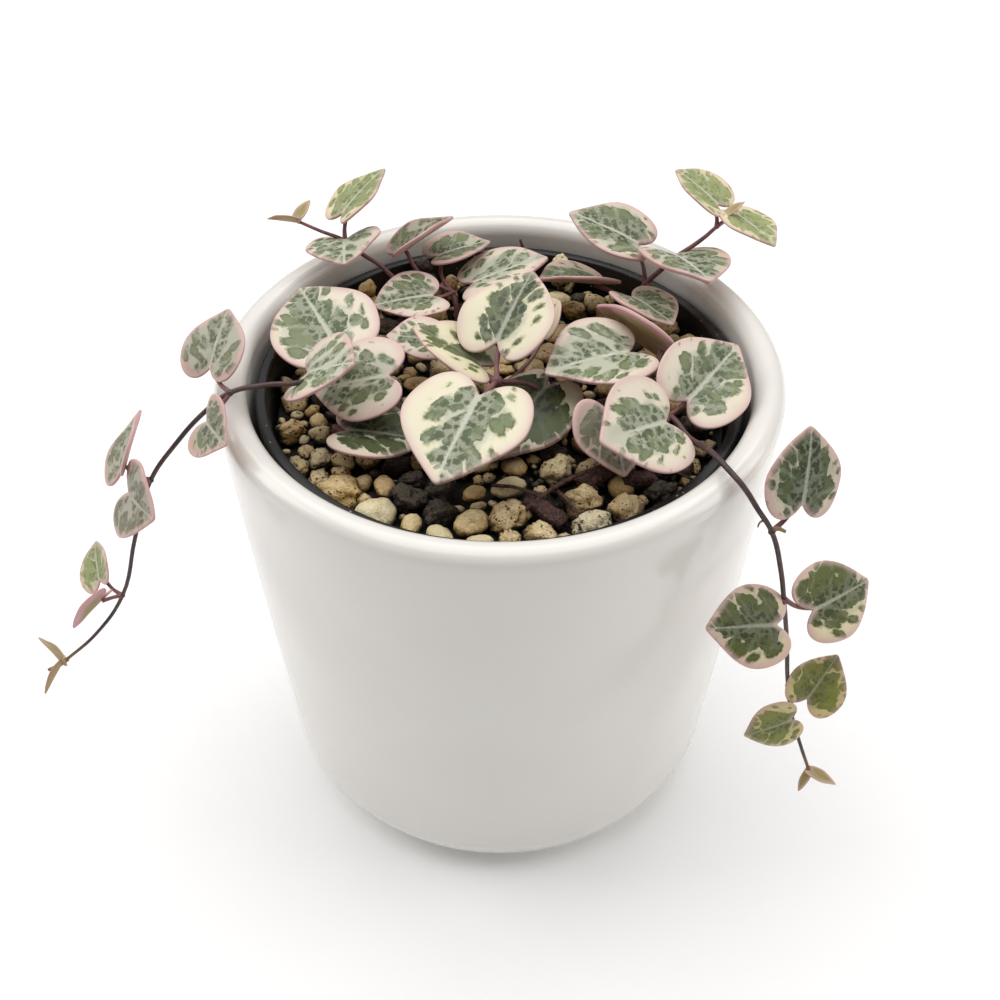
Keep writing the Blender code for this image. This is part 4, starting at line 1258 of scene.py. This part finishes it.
def add_bar(bm, layer, points, radii, ages):
    """A round bar along a smooth curve through the points, its caps welded."""
    curve = bpy.data.curves.new("bar", "CURVE")
    curve.dimensions = "3D"
    curve.bevel_depth = MM
    curve.bevel_resolution = STEM_ROUND
    curve.resolution_u = STEM_STEPS
    curve.use_fill_caps = True
    spline = curve.splines.new("BEZIER")
    spline.bezier_points.add(len(points) - 1)
    for knot, point, radius in zip(spline.bezier_points, points, radii):
        knot.co = Vector(point) * MM
        knot.radius = radius
        knot.handle_left_type = "AUTO"
        knot.handle_right_type = "AUTO"
    holder = bpy.data.objects.new("bar", curve)
    bpy.context.scene.collection.objects.link(holder)
    bpy.context.view_layer.update()
    evaluated = holder.evaluated_get(bpy.context.evaluated_depsgraph_get())
    mesh = bpy.data.meshes.new_from_object(evaluated)
    bpy.data.objects.remove(holder, do_unlink=True)
    for corner in poured(bm, mesh):
        corner[layer] = Vector((age_at(corner.co / MM, points, ages), 0, 0))


print("age halfway along a line:", age_at(Vector((1, 0, 0)), ((0, 0, 0), (2, 0, 0)), (YOUNG, OLD)))

# %% Nodes and petioles
KNOB_FINER = 3
PETIOLE_IN = 0.6
PETIOLE_SAG = 0.08
PETIOLE_BEND = 0.6  # where it sags, as a share of its way
LEAF_UNDER = 0.5


def add_knob(bm, layer, place, radius, age):
    """The thickened node where a pair of leaves grows."""
    corners = bmesh.ops.create_icosphere(
        bm, subdivisions=KNOB_FINER, radius=radius * MM, matrix=Matrix.Translation(Vector(place) * MM)
    )["verts"]
    for corner in corners:
        corner[layer] = Vector((age, 0, 0))


def petiole_route(start, leaf):
    """From the stem to the notch, arriving along the blade's own line and a little inside it."""
    base = Vector(leaf.base)
    turn = leaf_frame(leaf).to_3x3()
    forward = turn @ Vector((1, 0, 0))
    under = turn @ Vector((0, 0, -LEAF_UNDER))
    reach = (base - start).length
    middle = start.lerp(base, PETIOLE_BEND) - forward * reach * PETIOLE_SAG + under
    return [start, middle, base + under + forward * PETIOLE_IN]


print("the first petiole:", petiole_route(Vector(SHOOTS[0].route[first_leaf.node]), first_leaf))

# %% [markdown]
# Each shoot becomes two pieces: its stem with nodes and petioles, and its blades. Only the two long stems
# have a dark skin that is fresh again at the tip. Where the photograph shows them, the dried ends of lost
# petioles and an air root are added.

# %% What a shoot's stem is made from
ROOT_DEPTH = 74.0
STEM_SLIM = 0.56  # the real stem's share of the CAD bar, which has to stay thick enough to make
NODE_SWELL = 1.35
END_BUD = {"shoot_middle": 0.95}  # radius of the round bud where this shoot ends
LONG_ROUTE = 10  # a stem whose route has more points than this grows old
AGEING = 6  # from this point on, counted from its root
PETIOLE = 0.4
SHORTEST_PETIOLE = 2.0
SLIM_SHARE = 0.55  # a petiole's least radius, as a share of the full one of a large leaf
LARGE_LEAF = 12
# Dried ends of lost petioles and air roots, with their radius
STUBS = {
    "vine_right": (
        ((38.4, -33.4, 82.3), (39.3, -33.5, 82.6), (40.4, -33.7, 82.2), 0.36),
        ((37.2, -33.3, 84.1), (36.5, -33.7, 84), (36.3, -33.8, 83.2), 0.18),
    ),
    "vine_left": (((-72, -26.2, 45), (-73.6, -27, 44.2), (-75.2, -27.5, 43.7), 0.4),),
}
# How three radii follow one another along a bar
PETIOLE_TAPER, STUB_TAPER, TWIG_TAPER = (1.15, 0.9, 1.0), (1.0, 0.9, 0.7), (1.0, 0.85, 0.6)


def add_short_bar(bm, layer, route, radius, taper, age):
    add_bar(bm, layer, route, [radius * share for share in taper], [age] * len(route))


def stem_radii(shoot, count):
    thick, thin = [radius * STEM_SLIM for radius in shoot.thick]
    return [thick + (thin - thick) * index / (count - 1) for index in range(count)]


print("radii of the first stem:", [round(radius, 2) for radius in stem_radii(SHOOTS[0], 5)])


# %% Grow the shoots
def grow(shoot, first_seed):
    root = shoot.route[0][:2]
    points = [(*root, ROOT_DEPTH), (*root, MIX_TOP), *shoot.route]
    radii = stem_radii(shoot, len(points))
    trails = len(shoot.route) > LONG_ROUTE
    ages = [OLD * trails * min(1.0, index / AGEING) for index in range(len(points))]
    if trails:
        ages[-1] = TIP
    stem = bmesh.new()
    layer = stem.verts.layers.float_vector.new("stem")
    add_bar(stem, layer, points, radii, ages)
    for index in shoot.nodes:
        radius = radii[index + 2] * NODE_SWELL
        if shoot.route[index] == shoot.route[-1]:
            radius = END_BUD.get(shoot.name, radius)
        add_knob(stem, layer, shoot.route[index], radius, ages[index + 2])
    for *route, radius in STUBS.get(shoot.name, ()):
        add_short_bar(stem, layer, route, radius, STUB_TAPER, TIP)
    blades = bmesh.new()
    layers = {name: blades.verts.layers.float_vector.new(name) for name in LEAF_LAYERS}
    for number, leaf in enumerate(shoot.leaves):
        add_leaf(blades, layers, leaf, first_seed + number)
        start = Vector(shoot.route[leaf.node])
        if (start - Vector(leaf.base)).length > SHORTEST_PETIOLE:
            route = petiole_route(start, leaf)
            radius = PETIOLE * (SLIM_SHARE + (1 - SLIM_SHARE) * min(1.0, leaf.length / LARGE_LEAF))
            add_short_bar(stem, layer, route, radius, PETIOLE_TAPER, YOUNG)
    welded(stem, 0.004)
    stem_piece = made_object(shoot.name + "_stem", stem, stem_look)
    leaves_piece = made_object(shoot.name + "_leaves", blades, leaf_look)
    rounder = leaves_piece.modifiers.new("round", "SUBSURF")
    rounder.levels = 1
    rounder.render_levels = 1
    stands_for(stem_piece, shoot.name)
    stands_for(leaves_piece, shoot.name)


seed = 1
for shoot in SHOOTS:
    grow(shoot, seed)
    seed += len(shoot.leaves)
pattern.free()
print("leaves grown:", seed - 1)

# %% [markdown]
# ## Twigs and bark
#
# Most of the dark twigs and chips of bark lie in one bare spot between the stones. The twigs are thin bars
# with uneven points; a chip is a cube that is divided and whose corners are pushed about.

# %% Weathered bark
finish = Finish("weathered_bark")
place = finish.place()
fibres = finish.cloud(finish.warped(place, 0.8, 1.2), 1.8, 5.0, 0.65)["Fac"]
colour = finish.blend(finish.step(fibres, 0.35, 0.7), rgb(40, 26, 24), rgb(112, 78, 68))
bark_look = finish.set(
    Base_Color=colour, Roughness=0.8, Normal=finish.relief(fibres, 0.4, 0.9)
)
print("made", bark_look.name)

# %% Twigs and chips on the bare spot
TWIGS = (
    ((-1.2, -22.2, 80.6), (3, -23.4, 81), (7.4, -26, 80.4), 0.3),
    ((3.4, -27.4, 80.2), (9, -23, 81.6), (17, -18.6, 82.2), 0.38),
    ((7.6, -22.4, 80.8), (10.6, -27, 80.6), (11.6, -31.4, 80.4), 0.34),
    ((4, 33.6, 82), (4.4, 34.4, 85), (3.6, 35.4, 87.6), 0.4),
    ((20, -17, 80.6), (25, -19, 81), (29, -21, 80.6), 0.3),
    ((8, -18, 80), (12, -21.4, 80.6), (14.6, -22.8, 80.4), 0.28),
)
# middle, length, width, thickness, heading, lean
CHIPS = (
    ((7.2, -27.6, 80), 5.2, 2.6, 1, -35, 12), ((15.4, -19.6, 80.6), 7.5, 2.4, 1.2, 32, -14),
    ((21, -20.5, 80.4), 5, 2.2, 1.2, 10, 8), ((4.8, -24.6, 79.9), 3.4, 1.8, 0.9, 60, 10),
    ((27, -17.6, 80.2), 4.4, 2, 1, -30, -8), ((1, 30, 80.4), 5, 2.4, 1.1, 15, 10),
    ((-27, 8, 80.2), 4.6, 2.2, 1, 70, 8), ((12.6, -21, 79.8), 3.4, 1.6, 0.9, -70, 0),
)
CHIP_CUTS = 3
SPLINTERS = 0.6  # noise waves in a millimetre
RAGGED = 0.45
BARK_SEED = 5

noise.seed_set(BARK_SEED)  # without a seed, noise vectors differ from run to run
bark = bmesh.new()
layer = bark.verts.layers.float_vector.new("stem")
for *route, radius in TWIGS:
    add_short_bar(bark, layer, route, radius, TWIG_TAPER, OLD)
for middle, length, width, thickness, heading, lean in CHIPS:
    known = len(bark.verts)
    chip = bmesh.ops.create_cube(bark, size=1)["verts"]
    turn = Matrix.Rotation(math.radians(heading), 4, "Z") @ Matrix.Rotation(math.radians(lean), 4, "Y")
    size = Matrix.Diagonal((length * MM, width * MM, thickness * MM, 1))
    bmesh.ops.transform(
        bark, verts=chip, matrix=Matrix.Translation(Vector(middle) * MM) @ turn @ size
    )
    lines = [line for line in bark.edges if line.verts[0] in chip]
    bmesh.ops.subdivide_edges(bark, edges=lines, cuts=CHIP_CUTS, use_grid_fill=True)
    bark.verts.ensure_lookup_table()
    for corner in bark.verts[known:]:
        corner.co += noise.noise_vector(corner.co / MM * SPLINTERS) * RAGGED * MM
welded(bark, 0.004)
bark_piece = made_object("twigs_and_bark", bark, bark_look)
stands_for(bark_piece, "potting_mix")

# %% [markdown]
# ## Floor and light
#
# The stage is a plain pale floor. Product light is wide and soft: a dim room all round, a large panel
# overhead, and a weaker one on the left and on the right. Wide panels give the glaze long, soft
# reflections and keep the shadow under the pot faint.

# %% Stage
FLOOR_SIZE = 4.0
FLOOR_GLOW = 0.08

bm = bmesh.new()
bmesh.ops.create_grid(bm, x_segments=1, y_segments=1, size=FLOOR_SIZE / 2)
floor_finish = Finish("pale_floor")
floor_cloud = floor_finish.cloud(floor_finish.place(), 0.004)["Fac"]
floor_colour = floor_finish.blend(floor_cloud, rgb(250, 250, 250), rgb(246, 246, 246))
floor_look = floor_finish.set(
    Base_Color=floor_colour, Roughness=0.7, Emission_Color=floor_colour,
    Emission_Strength=FLOOR_GLOW,
)
floor = made_object("pale_floor", bm, floor_look)
print("floor", FLOOR_SIZE, "m wide")

# %% Soft studio light
ROOM_COLOUR = (1.0, 0.98, 0.95, 1)
ROOM_STRENGTH = 0.2
AIM = Vector((0, 0, 0.06))

world = bpy.data.worlds.new("bright_room")
world.use_nodes = True
background = world.node_tree.nodes["Background"].inputs
background["Color"].default_value = ROOM_COLOUR
background["Strength"].default_value = ROOM_STRENGTH
bpy.context.scene.world = world

# name, watts, size, place: each faces the plant
PANELS = (
    ("ceiling_panel", 17.5, 1.6, (0.0, 0.25, 1.3)),
    ("window_panel", 1.9, 0.45, (-0.62, 0.12, 0.5)),
    ("right_panel", 1.2, 0.4, (0.6, 0.0, 0.35)),
)
for name, power, size, place in PANELS:
    light = bpy.data.lights.new(name, "AREA")
    light.energy = power
    light.size = size
    lamp = bpy.data.objects.new(name, light)
    lamp.location = place
    lamp.rotation_euler = (Vector(place) - AIM).to_track_quat("Z", "Y").to_euler()
    bpy.context.scene.collection.objects.link(lamp)
bpy.context.scene.view_settings.view_transform = "Standard"
print("panels:", len(PANELS))
